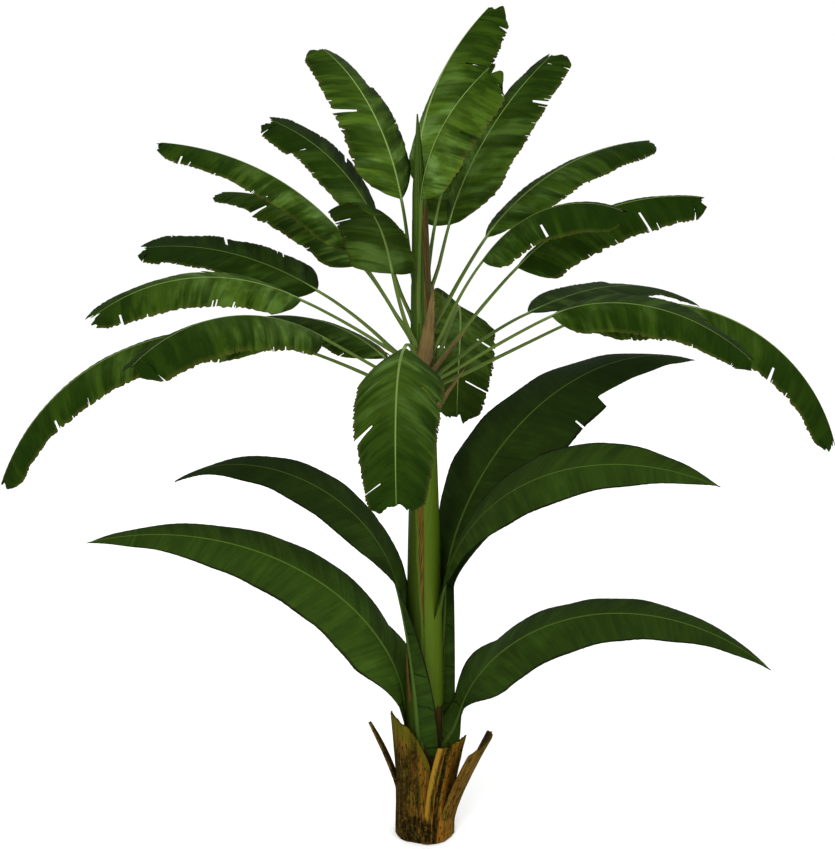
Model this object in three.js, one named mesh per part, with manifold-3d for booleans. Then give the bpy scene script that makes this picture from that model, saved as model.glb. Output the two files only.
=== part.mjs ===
// A young banana plant, rooted in the ground: a stump of old cut leaf sheaths, five broad lower
// leaves rising from it, a tall stem of wrapped sheaths, a rolled young leaf at the top, and a
// crown of torn paddle-shaped leaves on long stalks. Millimetres, +Z up, origin at the centre of
// the flat cut under the stump. Headings are degrees about +Z, from +X towards +Y.

import * as THREE from 'three';
import { mergeVertices } from 'three/addons/utils/BufferGeometryUtils.js';
import Module from 'manifold-3d';

const wasm = await Module();
wasm.setup();

// ---- Driving dimensions -------------------------------------------------------------------

const GAP = 0.3; // clearance between touching pieces
const LOOSE = 3 * GAP; // and between low pieces that cross, whose faces slope
const STUMP = { radius: 136, height: 330, shoulder: 118, sides: 20 };
const STEM = { foot: STUMP.height + GAP, top: 2480, sides: 16, lobes: 3, lobeDepth: 0.07 };
const ROLL = { top: 3560, sides: 10 }; // the rolled young leaf that stands on the stem
const LEAN = 36; // how far the tip of the rolled leaf leans towards -X

// Stem radius by height, from the flared foot to the tip of the rolled leaf.
const STEM_PROFILE = [
  [0, 102], [500, 95], [1000, 88], [1500, 78], [2000, 64], [2480, 55],
  [2800, 46], [3200, 34], [ROLL.top, 3],
];

// Crown leaves. rise, level and fall are the pitch of the rib where its stalk leaves the stem,
// where its blade starts and at its tip; bend shapes the curve between the last two; veer turns
// the heading on the way out. roll tips the blade about its rib, droop hangs its halves down.
// A tear is [place along the blade, side, depth as a share of the half blade].
const NEAR = -1;
const FAR = 1;
const crownDefaults = {
  style: 'crown', bend: 1, veer: 0, width: 365, roll: 0, droop: 24, shoulder: 0.2,
  tears: [], split: 0,
};
const highTier = [
  { name: 'crown_leaf_01', heading: 105, seatHeading: 114, seat: 2840, rise: 78, level: 71,
    fall: 40, bend: 0.6, veer: -78, stalk: 420, blade: 1040, width: 470, roll: 14, droop: 56,
    tears: [[0.6, FAR, 0.6], [0.88, FAR, 0.95], [0.45, NEAR, 0.5]] },
  { name: 'crown_leaf_02', heading: 76, seat: 2620, rise: 76, level: 58, fall: 5,
    veer: -12, stalk: 440, blade: 900, width: 300, roll: -4, shoulder: 0.13,
    tears: [[0.55, FAR, 0.5], [0.7, NEAR, 0.6]] },
  { name: 'crown_leaf_03', heading: 268, seatHeading: 248, seat: 2570, rise: 88, level: 84,
    fall: 40, bend: 0.66, veer: 76, stalk: 615, blade: 755, width: 470, roll: -38, droop: 38,
    tears: [[0.5, FAR, 0.45], [0.92, FAR, 0.4], [0.62, NEAR, 0.5]] },
  { name: 'crown_leaf_04', heading: 27, seat: 2710, rise: 76, level: 73, fall: 27, bend: 0.86,
    veer: 20, stalk: 350, blade: 1070, width: 392, roll: 2, droop: 22, shoulder: 0.26,
    tears: [[0.62, FAR, 0.4], [0.9, FAR, 0.85], [0.5, NEAR, 0.5]] },
  { name: 'crown_leaf_05', heading: 146, seatHeading: 160, seat: 2750, rise: 88, level: 76,
    fall: 17, bend: 1.1, veer: -20, stalk: 425, blade: 955, roll: 1, shoulder: 0.2,
    tears: [[0.45, NEAR, 0.6], [0.92, NEAR, 0.5], [0.6, FAR, 0.45]] },
  { name: 'crown_leaf_06', heading: 172, seat: 2590, rise: 73, level: 69, fall: 16,
    veer: -10, stalk: 450, blade: 795, width: 368, roll: 12, droop: 13, shoulder: 0.35,
    tears: [[0.62, NEAR, 0.6], [0.92, NEAR, 0.5], [0.4, FAR, 0.4]] },
];
const middleTier = [
  { name: 'crown_leaf_07', heading: 188, seat: 2515, rise: 63, level: 55, fall: 3,
    stalk: 505, blade: 1070, roll: 6, droop: 28, tears: [[0.5, FAR, 0.5], [0.85, NEAR, 0.35]] },
  { name: 'crown_leaf_08', heading: 150, seat: 2480, rise: 62, level: 44, fall: -9, bend: 1.1,
    stalk: 460, blade: 930, width: 335, roll: 0, droop: 25, shoulder: 0.13,
    tears: [[0.58, NEAR, 0.55], [0.4, FAR, 0.6]] },
  { name: 'crown_leaf_09', heading: 236, seat: 2485, rise: 56, level: 70, fall: -10, bend: 1.6,
    veer: 10, stalk: 425, blade: 620, width: 365, droop: 24, shoulder: 0.13,
    tears: [[0.5, FAR, 0.4], [0.7, NEAR, 0.4]] },
  { name: 'crown_leaf_10', heading: 168, seat: 2375, rise: 48, level: 29, fall: -11, bend: 1.15,
    stalk: 580, blade: 930, width: 390, roll: 15, droop: 8, shoulder: 0.13,
    tears: [[0.75, NEAR, 0.35], [0.93, NEAR, 0.4], [0.5, FAR, 0.5]] },
  { name: 'crown_leaf_11', heading: 200, seat: 2405, rise: 37, level: 28, fall: -38, bend: 1.15,
    stalk: 630, blade: 1040, width: 385, roll: 13, droop: 17,
    tears: [[0.84, NEAR, 0.4], [0.35, FAR, 0.5]] },
  { name: 'crown_leaf_12', heading: 42, seat: 2530, rise: 56, level: 45, fall: -2, bend: 0.74,
    stalk: 560, blade: 1290, width: 310, roll: -6, droop: 30, shoulder: 0.3,
    tears: [[0.45, FAR, 0.35], [0.6, NEAR, 0.6]] },
  { name: 'crown_leaf_13', heading: 325, seat: 2425, rise: 71, level: 53, fall: -26, bend: 1.3,
    veer: 20, stalk: 560, blade: 790, width: 430, roll: -14, droop: 22,
    tears: [[0.42, FAR, 0.5], [0.6, NEAR, 0.5]] },
  { name: 'crown_leaf_14', heading: 6, seat: 2380, rise: 55, level: 47, fall: -8,
    veer: -6, stalk: 610, blade: 985, width: 375, roll: -22, droop: 38, shoulder: 0.14,
    tears: [[0.62, FAR, 0.6], [0.93, FAR, 0.45], [0.4, NEAR, 0.5]] },
];
const lowTier = [
  { name: 'crown_leaf_15', heading: 178, seat: 2248, rise: 28, level: 18, fall: -72,
    veer: 16, stalk: 665, blade: 1655, width: 365, roll: 12, droop: 27,
    tears: [[0.3, FAR, 0.5], [0.7, NEAR, 0.3], [0.62, FAR, 0.6]] },
  { name: 'crown_leaf_16', heading: 212, seat: 2297, rise: 31, level: 31, fall: -37, bend: 1.1,
    veer: 13, stalk: 575, blade: 1095, width: 500, roll: -2, droop: 26,
    tears: [[0.4, NEAR, 0.25], [0.93, NEAR, 0.5], [0.6, FAR, 0.5]] },
  { name: 'crown_leaf_17', heading: 128, seat: 2235, rise: 39, level: 24, fall: -15, bend: 0.7,
    stalk: 280, blade: 1180, width: 300, roll: 2, droop: 26,
    tears: [[0.5, NEAR, 0.5], [0.7, FAR, 0.6]] },
  { name: 'crown_leaf_18', heading: 260, seat: 2362, rise: 47, level: 0, fall: -58, bend: 1.1,
    veer: 13, stalk: 620, blade: 1090, width: 440, droop: 34,
    tears: [[0.3, NEAR, 0.55], [0.55, FAR, 0.5], [0.85, FAR, 0.6]] },
  { name: 'crown_leaf_19', heading: 68, seat: 2230, rise: 53, level: -6, fall: -90, bend: 0.6,
    veer: 34, stalk: 820, blade: 915, width: 405, roll: -36, droop: -5,
    tears: [[0.32, FAR, 0.5], [0.7, FAR, 0.75], [0.5, NEAR, 0.5]] },
  { name: 'crown_leaf_20', heading: 38, seat: 2310, rise: 33, level: 14, fall: -28, bend: 1.3,
    stalk: 660, blade: 1210, width: 360, roll: -4, droop: 8, shoulder: 0.3,
    tears: [[0.5, NEAR, 0.6], [0.72, FAR, 0.5]] },
  { name: 'crown_leaf_21', heading: 335, seat: 2312, rise: 36, level: 29, fall: -44, bend: 0.82,
    veer: 14, stalk: 680, blade: 1010, width: 355, roll: -16, droop: 16,
    tears: [[0.5, FAR, 0.3], [0.66, NEAR, 0.5]] },
  { name: 'crown_leaf_22', heading: 8, seat: 2285, rise: 25, level: 26, fall: -77,
    veer: -20, stalk: 705, blade: 1625, width: 365, roll: -16, droop: 40,
    tears: [[0.3, NEAR, 0.5], [0.64, FAR, 0.4], [0.8, NEAR, 0.4]] },
];

// Lower leaves: one broad strip each, channelled where it is a stalk, wider where it is a blade.
// turn tips the stalk's foot about its rib, where it doesn't simply face the stem.
const lowerDefaults = {
  style: 'lower', bend: 0.9, veer: 0, seat: 440, roll: 0, droop: 14, swell: 0.35, foot: 0.2,
  split: 0.43, tears: [],
};
const lowerLeaves = [
  { name: 'lower_leaf_1', heading: 188, seatHeading: 176, seat: 450, rise: 90, level: 83.6,
    fall: -16, bend: 0.76, veer: -16, stalk: 270, blade: 1940, width: 422, roll: 33, droop: 18,
    swell: 0.2, foot: 0.6 },
  { name: 'lower_leaf_2', heading: 205, seatHeading: 250, rise: 89, level: 78, fall: -34, bend: 1,
    veer: -54, stalk: 880, blade: 1455, width: 385, roll: 12, droop: 6, swell: 0.27, foot: 0.54 },
  { name: 'lower_leaf_3', heading: 352, seatHeading: 330, rise: 60, level: 74.5, fall: -37,
    bend: 0.8, veer: -8, turn: -82, stalk: 280, blade: 1750, width: 440, roll: -20, swell: 0.15,
    foot: 0.38 },
  { name: 'lower_leaf_4', heading: 318, seatHeading: 345, rise: 94, level: 89, fall: -19,
    bend: 0.87, veer: 22, stalk: 705, blade: 1860, width: 412, roll: -30, droop: 5,
    swell: 0.45, foot: 0.32 },
  { name: 'lower_leaf_5', heading: 38, seatHeading: 20, rise: 90, level: 86.5, fall: -18, bend: 0.78,
    turn: -80, stalk: 860, blade: 2180, width: 540, roll: -14, droop: 16, swell: 0.34, foot: 0.25,
    tears: [[0.5, FAR, 0.22], [0.6, FAR, 0.3, 0.4]] },
];

// Cut-off leaf sheaths round the stump. spread is how wide each wraps at its foot, flare how far
// its top stands out from the stump, bend the height where it starts to, slant how much higher its
// far corner is cut, and lean how far it leans round the stump.
const cutSheaths = [
  { name: 'cut_sheath_2', heading: 302, spread: 72, top: 540, flare: 64, taper: 0.78, slant: 10,
    bend: 200, lean: 14 },
  { name: 'cut_sheath_1', heading: 240, spread: 100, top: 650, flare: 28, taper: 0.95, slant: 0,
    bend: 260, lean: -8, curl: 245 },
  { name: 'cut_sheath_3', heading: 335, spread: 70, top: 535, flare: 190, taper: 0.8, slant: 50,
    bend: 70, lean: 6, curl: 40 },
  { name: 'cut_sheath_4', heading: 180, spread: 40, top: 585, flare: 134, taper: 0.12, slant: 0,
    bend: 240, lean: 0 },
  { name: 'cut_sheath_5', heading: 45, spread: 58, top: 600, flare: 60, taper: 0.6, slant: 50,
    bend: 300, lean: 8 },
  { name: 'cut_sheath_6', heading: 115, spread: 62, top: 500, flare: 90, taper: 0.5, slant: -40,
    bend: 200, lean: -8 },
];
const SHEATH = { thick: 13, foot: 4, hugs: 150, sunk: 2 }; // hugs the core's shape up to there

// Dry papery pieces: pointed bracts at the crown and strips that hang on low on the stem.
const dryDefaults = {
  style: 'dry', bend: 1, veer: 0, stalk: 1, roll: 0, droop: -12, swell: 0.12, tears: [], split: 0,
};
const dryPieces = [
  { name: 'dry_bract_1', heading: 296, seatHeading: 276, seat: 2385, rise: 75, fall: 77, blade: 440,
    width: 84, roll: 24 },
  { name: 'dry_bract_2', heading: 318, seat: 2350, rise: 50, fall: 46, blade: 340, width: 74 },
  { name: 'dry_bract_3', heading: 314, seat: 2140, rise: 54, fall: 50, blade: 360, width: 64 },
  { name: 'dry_bract_4', heading: 352, seat: 2500, rise: 80, fall: 78, blade: 250, width: 30 },
  { name: 'dry_bract_5', heading: 205, seat: 2360, rise: 40, fall: 35, blade: 230, width: 46 },
  { name: 'dry_bract_6', heading: 98, seat: 2330, rise: 62, fall: 50, blade: 300, width: 52 },
  { name: 'dry_strip_1', heading: 214, seat: 620, rise: 86, fall: 88, blade: 390, width: 46 },
  { name: 'dry_strip_2', heading: 20, seat: 700, rise: 86, fall: 88, blade: 390, width: 40 },
];

// ---- Finishes -----------------------------------------------------------------------------

const finish = (color, roughness) =>
  new THREE.MeshStandardMaterial({ color, roughness, metalness: 0, side: THREE.DoubleSide });
const finishes = {
  crown: finish(0x2f5a1c, 0.55),
  lower: finish(0x1f3a18, 0.5),
  dry: finish(0x7a5a3c, 0.9),
  stem: finish(0x4f7a20, 0.55),
  stump: finish(0x6b5220, 0.85),
  roll: finish(0x46701f, 0.5),
};

// ---- Small helpers ------------------------------------------------------------------------

const { lerp, clamp, degToRad } = THREE.MathUtils;
const direction = (degrees) =>
  new THREE.Vector3(Math.cos(degToRad(degrees)), Math.sin(degToRad(degrees)), 0);

/** Value at x of a profile given as rising [x, value] pairs. */
function along(profile, x) {
  let i = 1;
  while (i < profile.length - 1 && profile[i][0] < x) i += 1;
  const [[x0, v0], [x1, v1]] = [profile[i - 1], profile[i]];
  return lerp(v0, v1, clamp((x - x0) / (x1 - x0), 0, 1));
}

const stemCentre = (z) => new THREE.Vector3(-LEAN * Math.max(0, z / ROLL.top) ** 3, 0, z);

/** Closed three.js geometry whose vertices are moved one by one to where place() puts them. */
function shaped(geometry, place) {
  geometry.deleteAttribute('normal');
  geometry.deleteAttribute('uv');
  const merged = mergeVertices(geometry);
  const position = merged.attributes.position;
  const corner = new THREE.Vector3();
  for (let i = 0; i < position.count; i += 1) {
    const moved = place(corner.fromBufferAttribute(position, i));
    position.setXYZ(i, moved.x, moved.y, moved.z);
  }
  return merged;
}

const toSolid = (geometry) => new wasm.Manifold(new wasm.Mesh({
  numProp: 3,
  vertProperties: Float32Array.from(geometry.attributes.position.array),
  triVerts: Uint32Array.from(geometry.index.array),
}));

/** The solid without the loose scraps that cutting it clear of its neighbours may leave. */
const largest = (solid) => solid.decompose().sort((a, b) => b.volume() - a.volume())[0];

function toGeometry(solid) {
  const mesh = solid.getMesh();
  const geometry = new THREE.BufferGeometry();
  geometry.setAttribute('position', new THREE.BufferAttribute(mesh.vertProperties, 3));
  geometry.setIndex(new THREE.BufferAttribute(mesh.triVerts, 1));
  return geometry;
}

// ---- Stem, rolled leaf and stump ----------------------------------------------------------

/** Upright tapering column between two heights; grow widens it and its ends by a clearance. */
function column({ foot, top, sides, rings, lobes, lobeDepth, grow = 0 }) {
  return shaped(new THREE.CylinderGeometry(1, 1, 1, sides, rings), (v) => {
    const z = lerp(foot - grow, top + grow, v.y + 0.5);
    const angle = Math.atan2(-v.z, v.x);
    const lobe = 1 + lobeDepth * Math.cos(lobes * angle - 1);
    const radius = Math.hypot(v.x, v.z) * (along(STEM_PROFILE, z) * lobe + grow);
    const out = new THREE.Vector3(radius * Math.cos(angle), radius * Math.sin(angle), 0);
    return stemCentre(z).add(out);
  });
}

const stemShape = { ...STEM, rings: 6 };
const rollShape = { foot: STEM.top + GAP, ...ROLL, rings: 6, lobes: 2, lobeDepth: 0.08 };

/** Radius of the stump's core: upright at the ground, drawn in to the shoulder, lightly ribbed. */
function stumpRadius(z, angle) {
  const rise = clamp(z / STUMP.height, 0, 1);
  const ribs = 1 + 0.025 * Math.cos(5 * angle) + 0.015 * Math.cos(9 * angle + 2);
  return lerp(STUMP.radius, STUMP.shoulder, rise ** 3) * ribs;
}

function stump(grow = 0) {
  return shaped(new THREE.CylinderGeometry(1, 1, 1, STUMP.sides, 4), (v) => {
    const z = lerp(-grow, STUMP.height + grow, v.y + 0.5);
    const angle = Math.atan2(-v.z, v.x);
    const radius = Math.hypot(v.x, v.z) * (stumpRadius(z, angle) + grow);
    return new THREE.Vector3(radius * Math.cos(angle), radius * Math.sin(angle), z);
  });
}

/** One cut sheath: a curved plate that hugs the stump's core, then stands out from it. */
function cutSheath({ heading, spread, top, flare, taper, slant, bend, lean, curl = 0 }, grow = 0) {
  return shaped(new THREE.BoxGeometry(1, 1, 1, 5, 7, 1), (v) => {
    const rise = v.y + 0.5;
    const head = top + slant * v.x - curl * (v.x + 0.5) ** 3.5;
    const z = lerp(SHEATH.foot - grow, head + grow, rise);
    const free = clamp((z - bend) / (top - bend), 0, 1.1);
    const angle = degToRad(heading + lean * rise + spread * v.x * lerp(1, taper, free ** 1.3))
      + Math.sign(v.x) * grow / STUMP.radius;
    const inner = stumpRadius(Math.min(z, SHEATH.hugs), angle)
      - SHEATH.sunk + flare * free ** 1.25;
    const radius = inner + lerp(-grow, SHEATH.thick + grow, v.z + 0.5);
    return new THREE.Vector3(radius * Math.cos(angle), radius * Math.sin(angle), z);
  });
}

// ---- Leaves -------------------------------------------------------------------------------

/** Half width of a blade, as a share of its greatest, from its foot (0) to its tip (1). */
const outlines = {
  crown: (u, { shoulder }) => {
    const foot = Math.sin(clamp(u / shoulder, 0, 1) * Math.PI / 2) ** 0.7;
    const taper = 1 - 0.42 * clamp((u - 0.35) / 0.65, 0, 1) ** 2;
    const end = 1 - 0.35 * clamp((u - 0.95) / 0.05, 0, 1) ** 2;
    return Math.max(foot * taper * end, 0.05);
  },
  lower: (u, { swell, foot }) => {
    const swelling = lerp(foot, 1, Math.sin(clamp(u / swell, 0, 1) * Math.PI / 2) ** 1.3);
    const taper = 1 - clamp((u - swell) / (1 - swell), 0, 1) ** 1.9;
    return Math.max(swelling * taper, 0.02);
  },
  dry: (u, { swell }) => {
    const foot = 0.7 + 0.3 * clamp(u / swell, 0, 1);
    return Math.max(foot * (1 - u ** 1.4), 0.12);
  },
};

const SUNK = 8; // how far inside the stem's surface a low or dry piece starts
const DRY_THICK = 6;

/** Frames along a leaf's rib, from the stem outwards: place, run, side and upper normal. */
function ribFrames(leaf) {
  const steps = 96;
  const length = leaf.stalk + leaf.blade;
  const seatHeading = leaf.seatHeading ?? leaf.heading;
  const start = along(STEM_PROFILE, leaf.seat) - (leaf.style === 'crown' ? 0 : SUNK);
  const place = stemCentre(leaf.seat).addScaledVector(direction(seatHeading), start);
  const frames = [];
  let before = null;
  for (let i = 0; i <= steps; i += 1) {
    const s = length * i / steps;
    const onStalk = clamp(s / leaf.stalk, 0, 1);
    const u = clamp((s - leaf.stalk) / leaf.blade, 0, 1);
    const pitch = degToRad(lerp(leaf.rise, leaf.level, onStalk)
      + (leaf.fall - leaf.level) * u ** leaf.bend);
    const heading = leaf.heading + leaf.veer * s / length;
    const run = direction(heading).multiplyScalar(Math.cos(pitch)).setZ(Math.sin(pitch));
    if (before) place.addScaledVector(before.clone().add(run), length / steps / 2);
    before = run;
    const flat = direction(heading - 90);
    const turn = leaf.turn ?? (leaf.style === 'lower' ? leaf.heading - seatHeading : leaf.roll);
    const twist = degToRad(lerp(turn, leaf.roll, onStalk));
    const normal = flat.clone().cross(run);
    const side = flat.clone().multiplyScalar(Math.cos(twist))
      .addScaledVector(normal, Math.sin(twist));
    frames.push({ s, place: place.clone(), run, side, up: side.clone().cross(run) });
  }
  return frames;
}

/** The frame at a distance s along the rib. */
function frameAt(frames, s) {
  const x = clamp(s / frames.at(-1).s, 0, 1) * (frames.length - 1);
  const i = Math.min(Math.floor(x), frames.length - 2);
  const mix = (key) => frames[i][key].clone().lerp(frames[i + 1][key], x - i);
  return { place: mix('place'), run: mix('run'), side: mix('side'), up: mix('up') };
}

/** Places along the rib where the blade has a row of vertices: even steps and the tears. */
function stations(leaf, from, to, count) {
  const places = Array.from({ length: count + 1 }, (_, i) => lerp(from, to, i / count));
  for (const [u] of leaf.tears) {
    const middle = leaf.stalk + u * leaf.blade;
    if (middle > from + 2 * TEAR && middle < to - 2 * TEAR) {
      places.push(middle - TEAR, middle, middle + TEAR);
    }
  }
  const sorted = places.sort((a, b) => a - b);
  return sorted.filter((s, i) => i === 0 || s === to || s - sorted[i - 1] > TEAR / 3);
}

const TEAR = 11; // half the width of a tear at the leaf's edge
const THIN = 0.0105; // leaf thickness as a share of its length
const VEIN_SLANT = 0.22; // how far a crown leaf's rows and tears run outward to the tip
const LOWER_CHANNEL = -18; // how far the halves of a lower leaf's stalk fold up, in degrees

/** How much of the half blade is left on one side at s: a tear cuts in, and may heal outwards. */
function torn(leaf, s, side) {
  const kept = leaf.tears.filter(([, tornSide]) => tornSide === side).map(([u, , depth, heals]) => {
    const past = (s - leaf.stalk) / leaf.blade - u;
    if (Math.abs(past) < 1e-8) return 1 - depth;
    return heals && past > 0 ? 1 - depth * clamp(1 - past / heals, 0, 1) : 1;
  });
  return Math.min(1, ...kept);
}

/** Half width of a leaf at s: the blade's outline, or the narrow channelled stalk below it. */
function halfWidth(leaf, s) {
  const u = (s - leaf.stalk) / leaf.blade;
  return leaf.width / 2 * outlines[leaf.style](Math.max(u, 0), leaf);
}

/** The stretch of a leaf's blade between two places on its rib, as one thin closed strip. */
function strip(leaf, frames, from, to, count, grow = 0) {
  const rows = stations(leaf, from, to, count);
  const thick = leaf.thick ?? THIN * Math.max(leaf.blade, 900);
  return shaped(new THREE.BoxGeometry(1, 1, 1, 4, rows.length - 1, 1), (v) => {
    const s = rows[Math.round((v.y + 0.5) * (rows.length - 1))];
    const across = Math.round(v.x * 4) / 2; // -1, -0.5, 0, 0.5, 1
    const which = Math.sign(across);
    const middle = Math.sin(Math.PI * (s - from) / (to - from)); // none at the strip's two ends
    const slant = leaf.style === 'crown' ? VEIN_SLANT * middle : 0;
    const kept = torn(leaf, s, which);
    const width = halfWidth(leaf, s + slant * kept * halfWidth(leaf, s)) * kept + grow;
    const { place, side, up } = frameAt(frames, s + slant * Math.abs(across) * width);
    const channel = leaf.style === 'lower' ? clamp(1 - (s - leaf.stalk) / 300, 0, 1) : 0;
    const hang = lerp(leaf.droop, LOWER_CHANNEL, channel);
    const near = degToRad(hang * 0.7);
    const far = degToRad(hang * 1.3);
    const inner = Math.min(Math.abs(across), 0.5) * width;
    const outer = (Math.abs(across) - 0.5 > 0 ? 0.5 : 0) * width;
    place.addScaledVector(side, which * (inner * Math.cos(near) + outer * Math.cos(far)));
    place.addScaledVector(up, -(inner * Math.sin(near) + outer * Math.sin(far)));
    return place.addScaledVector(up, v.z > 0 ? grow : -(thick + grow));
  });
}

const STALK = { foot: 14, head: 8.5, sides: 5, rings: 4, reach: 0.1 }; // round leaf stalk of the crown

/** The round stalk of a crown leaf, from the stem into the foot of its blade. */
function stalk(leaf, frames) {
  const length = leaf.stalk + STALK.reach * leaf.blade;
  return shaped(new THREE.CylinderGeometry(1, 1, 1, STALK.sides, STALK.rings), (v) => {
    const share = v.y + 0.5;
    const { place, side, up } = frameAt(frames, share * length);
    const radius = lerp(STALK.foot, STALK.head, share ** 0.7);
    return place.addScaledVector(side, v.x * radius)
      .addScaledVector(up, v.z * radius - STALK.head / 2);
  });
}

// ---- The plant ----------------------------------------------------------------------------

const plant = new THREE.Group();
plant.name = 'banana_plant';

function add(name, geometry, material) {
  const mesh = new THREE.Mesh(geometry, material);
  mesh.name = name;
  plant.add(mesh);
}

// What later pieces are cut clear of: the trunk first, then each low piece as it is added.
let taken = toSolid(column({ ...stemShape, grow: GAP }))
  .add(toSolid(column({ ...rollShape, grow: GAP })))
  .add(toSolid(stump(GAP)));

/** Adds one leaf, cut clear of the pieces before it; a long one is two nodes that meet at its bend. */
function addLeaf(leaf, material) {
  const frames = ribFrames(leaf);
  const length = leaf.stalk + leaf.blade;
  const bladeFoot = leaf.style === 'crown' ? leaf.stalk : 0;
  const rows = leaf.style === 'dry' ? 5 : 8;
  const share = Math.ceil(leaf.split ? rows * 0.6 : rows);
  const bend = leaf.split ? leaf.stalk + leaf.split * leaf.blade : length;
  const innerEnd = leaf.split ? bend - GAP / 2 : length;
  let inner = toSolid(strip(leaf, frames, bladeFoot, innerEnd, share));
  if (leaf.style === 'crown') inner = inner.add(toSolid(stalk(leaf, frames)));
  inner = largest(inner.subtract(taken));
  add(leaf.split ? `${leaf.name}_inner` : leaf.name, toGeometry(inner), material);
  if (leaf.style === 'lower') {
    taken = taken.add(toSolid(strip(leaf, frames, bladeFoot, innerEnd, share, LOOSE)));
  }
  if (leaf.split) {
    add(`${leaf.name}_outer`, strip(leaf, frames, bend + GAP / 2, length, share), material);
  }
}

add('stump', stump(), finishes.stump);
add('stem', column(stemShape), finishes.stem);
add('rolled_leaf', column(rollShape), finishes.roll);
for (const sheath of cutSheaths) {
  add(sheath.name, toGeometry(largest(toSolid(cutSheath(sheath)).subtract(taken))), finishes.stump);
  taken = taken.add(toSolid(cutSheath(sheath, LOOSE)));
}
for (const row of lowerLeaves) addLeaf({ ...lowerDefaults, ...row }, finishes.lower);
for (const row of [...highTier, ...middleTier]) {
  addLeaf({ ...crownDefaults, ...row }, finishes.crown);
}
for (const row of lowTier) addLeaf({ ...crownDefaults, split: 0.42, ...row }, finishes.crown);
for (const row of dryPieces) {
  addLeaf({ ...dryDefaults, level: row.rise, thick: DRY_THICK, ...row }, finishes.dry);
}

export default plant;
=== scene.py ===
"""A young banana plant: a stump of old cut sheaths, broad lower leaves, a wrapped stem, a torn crown.

Each visible piece is built here as a fine mesh from the same named sizes as the solids it stands for.
Sizes are in millimetres and angles in degrees until a vertex is placed, and then in metres. Headings
turn about +Z, from +X towards +Y.
"""

import logging
import math
import random
from collections.abc import Callable, Sequence
from dataclasses import dataclass
from enum import Enum
from functools import partial

import bmesh
import bpy
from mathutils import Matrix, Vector, noise


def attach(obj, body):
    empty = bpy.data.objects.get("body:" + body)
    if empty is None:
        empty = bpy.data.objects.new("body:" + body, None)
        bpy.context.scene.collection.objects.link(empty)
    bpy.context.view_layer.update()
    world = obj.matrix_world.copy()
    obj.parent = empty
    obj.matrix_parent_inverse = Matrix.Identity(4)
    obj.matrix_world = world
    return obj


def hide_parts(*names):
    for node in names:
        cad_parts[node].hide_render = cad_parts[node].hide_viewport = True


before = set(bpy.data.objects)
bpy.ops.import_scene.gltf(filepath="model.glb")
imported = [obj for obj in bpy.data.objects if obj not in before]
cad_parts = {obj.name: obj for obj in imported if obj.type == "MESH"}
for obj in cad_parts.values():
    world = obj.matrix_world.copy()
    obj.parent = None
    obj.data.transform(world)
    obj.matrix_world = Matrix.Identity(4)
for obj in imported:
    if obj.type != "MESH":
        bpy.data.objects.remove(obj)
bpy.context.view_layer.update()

MM = 0.001
NOISE_APART = 7.31  # how far apart the noise of two seeds lies
TONE_STEP = 0.381  # what each seed adds to a leaf's tone, so that neighbours differ
log = logging.getLogger("banana_plant")

# ---- Numbers and shapes ---------------------------------------------------------------------


def clamp(x: float, low: float = 0.0, high: float = 1.0) -> float:
    """Keep x between low and high."""
    return max(low, min(high, x))


def lerp(a: float, b: float, share: float) -> float:
    """The value a share of the way from a to b."""
    return a + (b - a) * share


def smooth(x: float, low: float, high: float) -> float:
    """Rise smoothly from 0 at low to 1 at high."""
    t = clamp((x - low) / (high - low))
    return t * t * (3 - 2 * t)


def along(profile: Sequence[tuple[float, float]], x: float) -> float:
    """Read a profile of rising (x, value) pairs at x.

    Args:
        profile: the pairs.
        x: where to read it.

    Returns:
        The value there.
    """
    for (x0, v0), (x1, v1) in zip(profile, profile[1:]):
        if x <= x1:
            break
    return lerp(v0, v1, clamp((x - x0) / (x1 - x0)))


def direction(heading: float) -> Vector:
    """The level unit vector at a heading in degrees."""
    return Vector((math.cos(math.radians(heading)), math.sin(math.radians(heading)), 0))


def grain(x: float, y: float, seed: float) -> float:
    """Seeded smooth noise between about -1 and 1."""
    return noise.noise(Vector((x, y, seed * NOISE_APART)))


def turn_between(a: float, b: float) -> float:
    """How far heading a is past heading b, from -180 to 180."""
    return (a - b + 180) % 360 - 180


def show(name: str, data: bpy.types.ID) -> bpy.types.Object:
    """Put a new object in the scene.

    Args:
        name: its plain name.
        data: its mesh, lamp or camera.

    Returns:
        The object.
    """
    thing = bpy.data.objects.new(name, data)
    bpy.context.scene.collection.objects.link(thing)
    return thing


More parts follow.
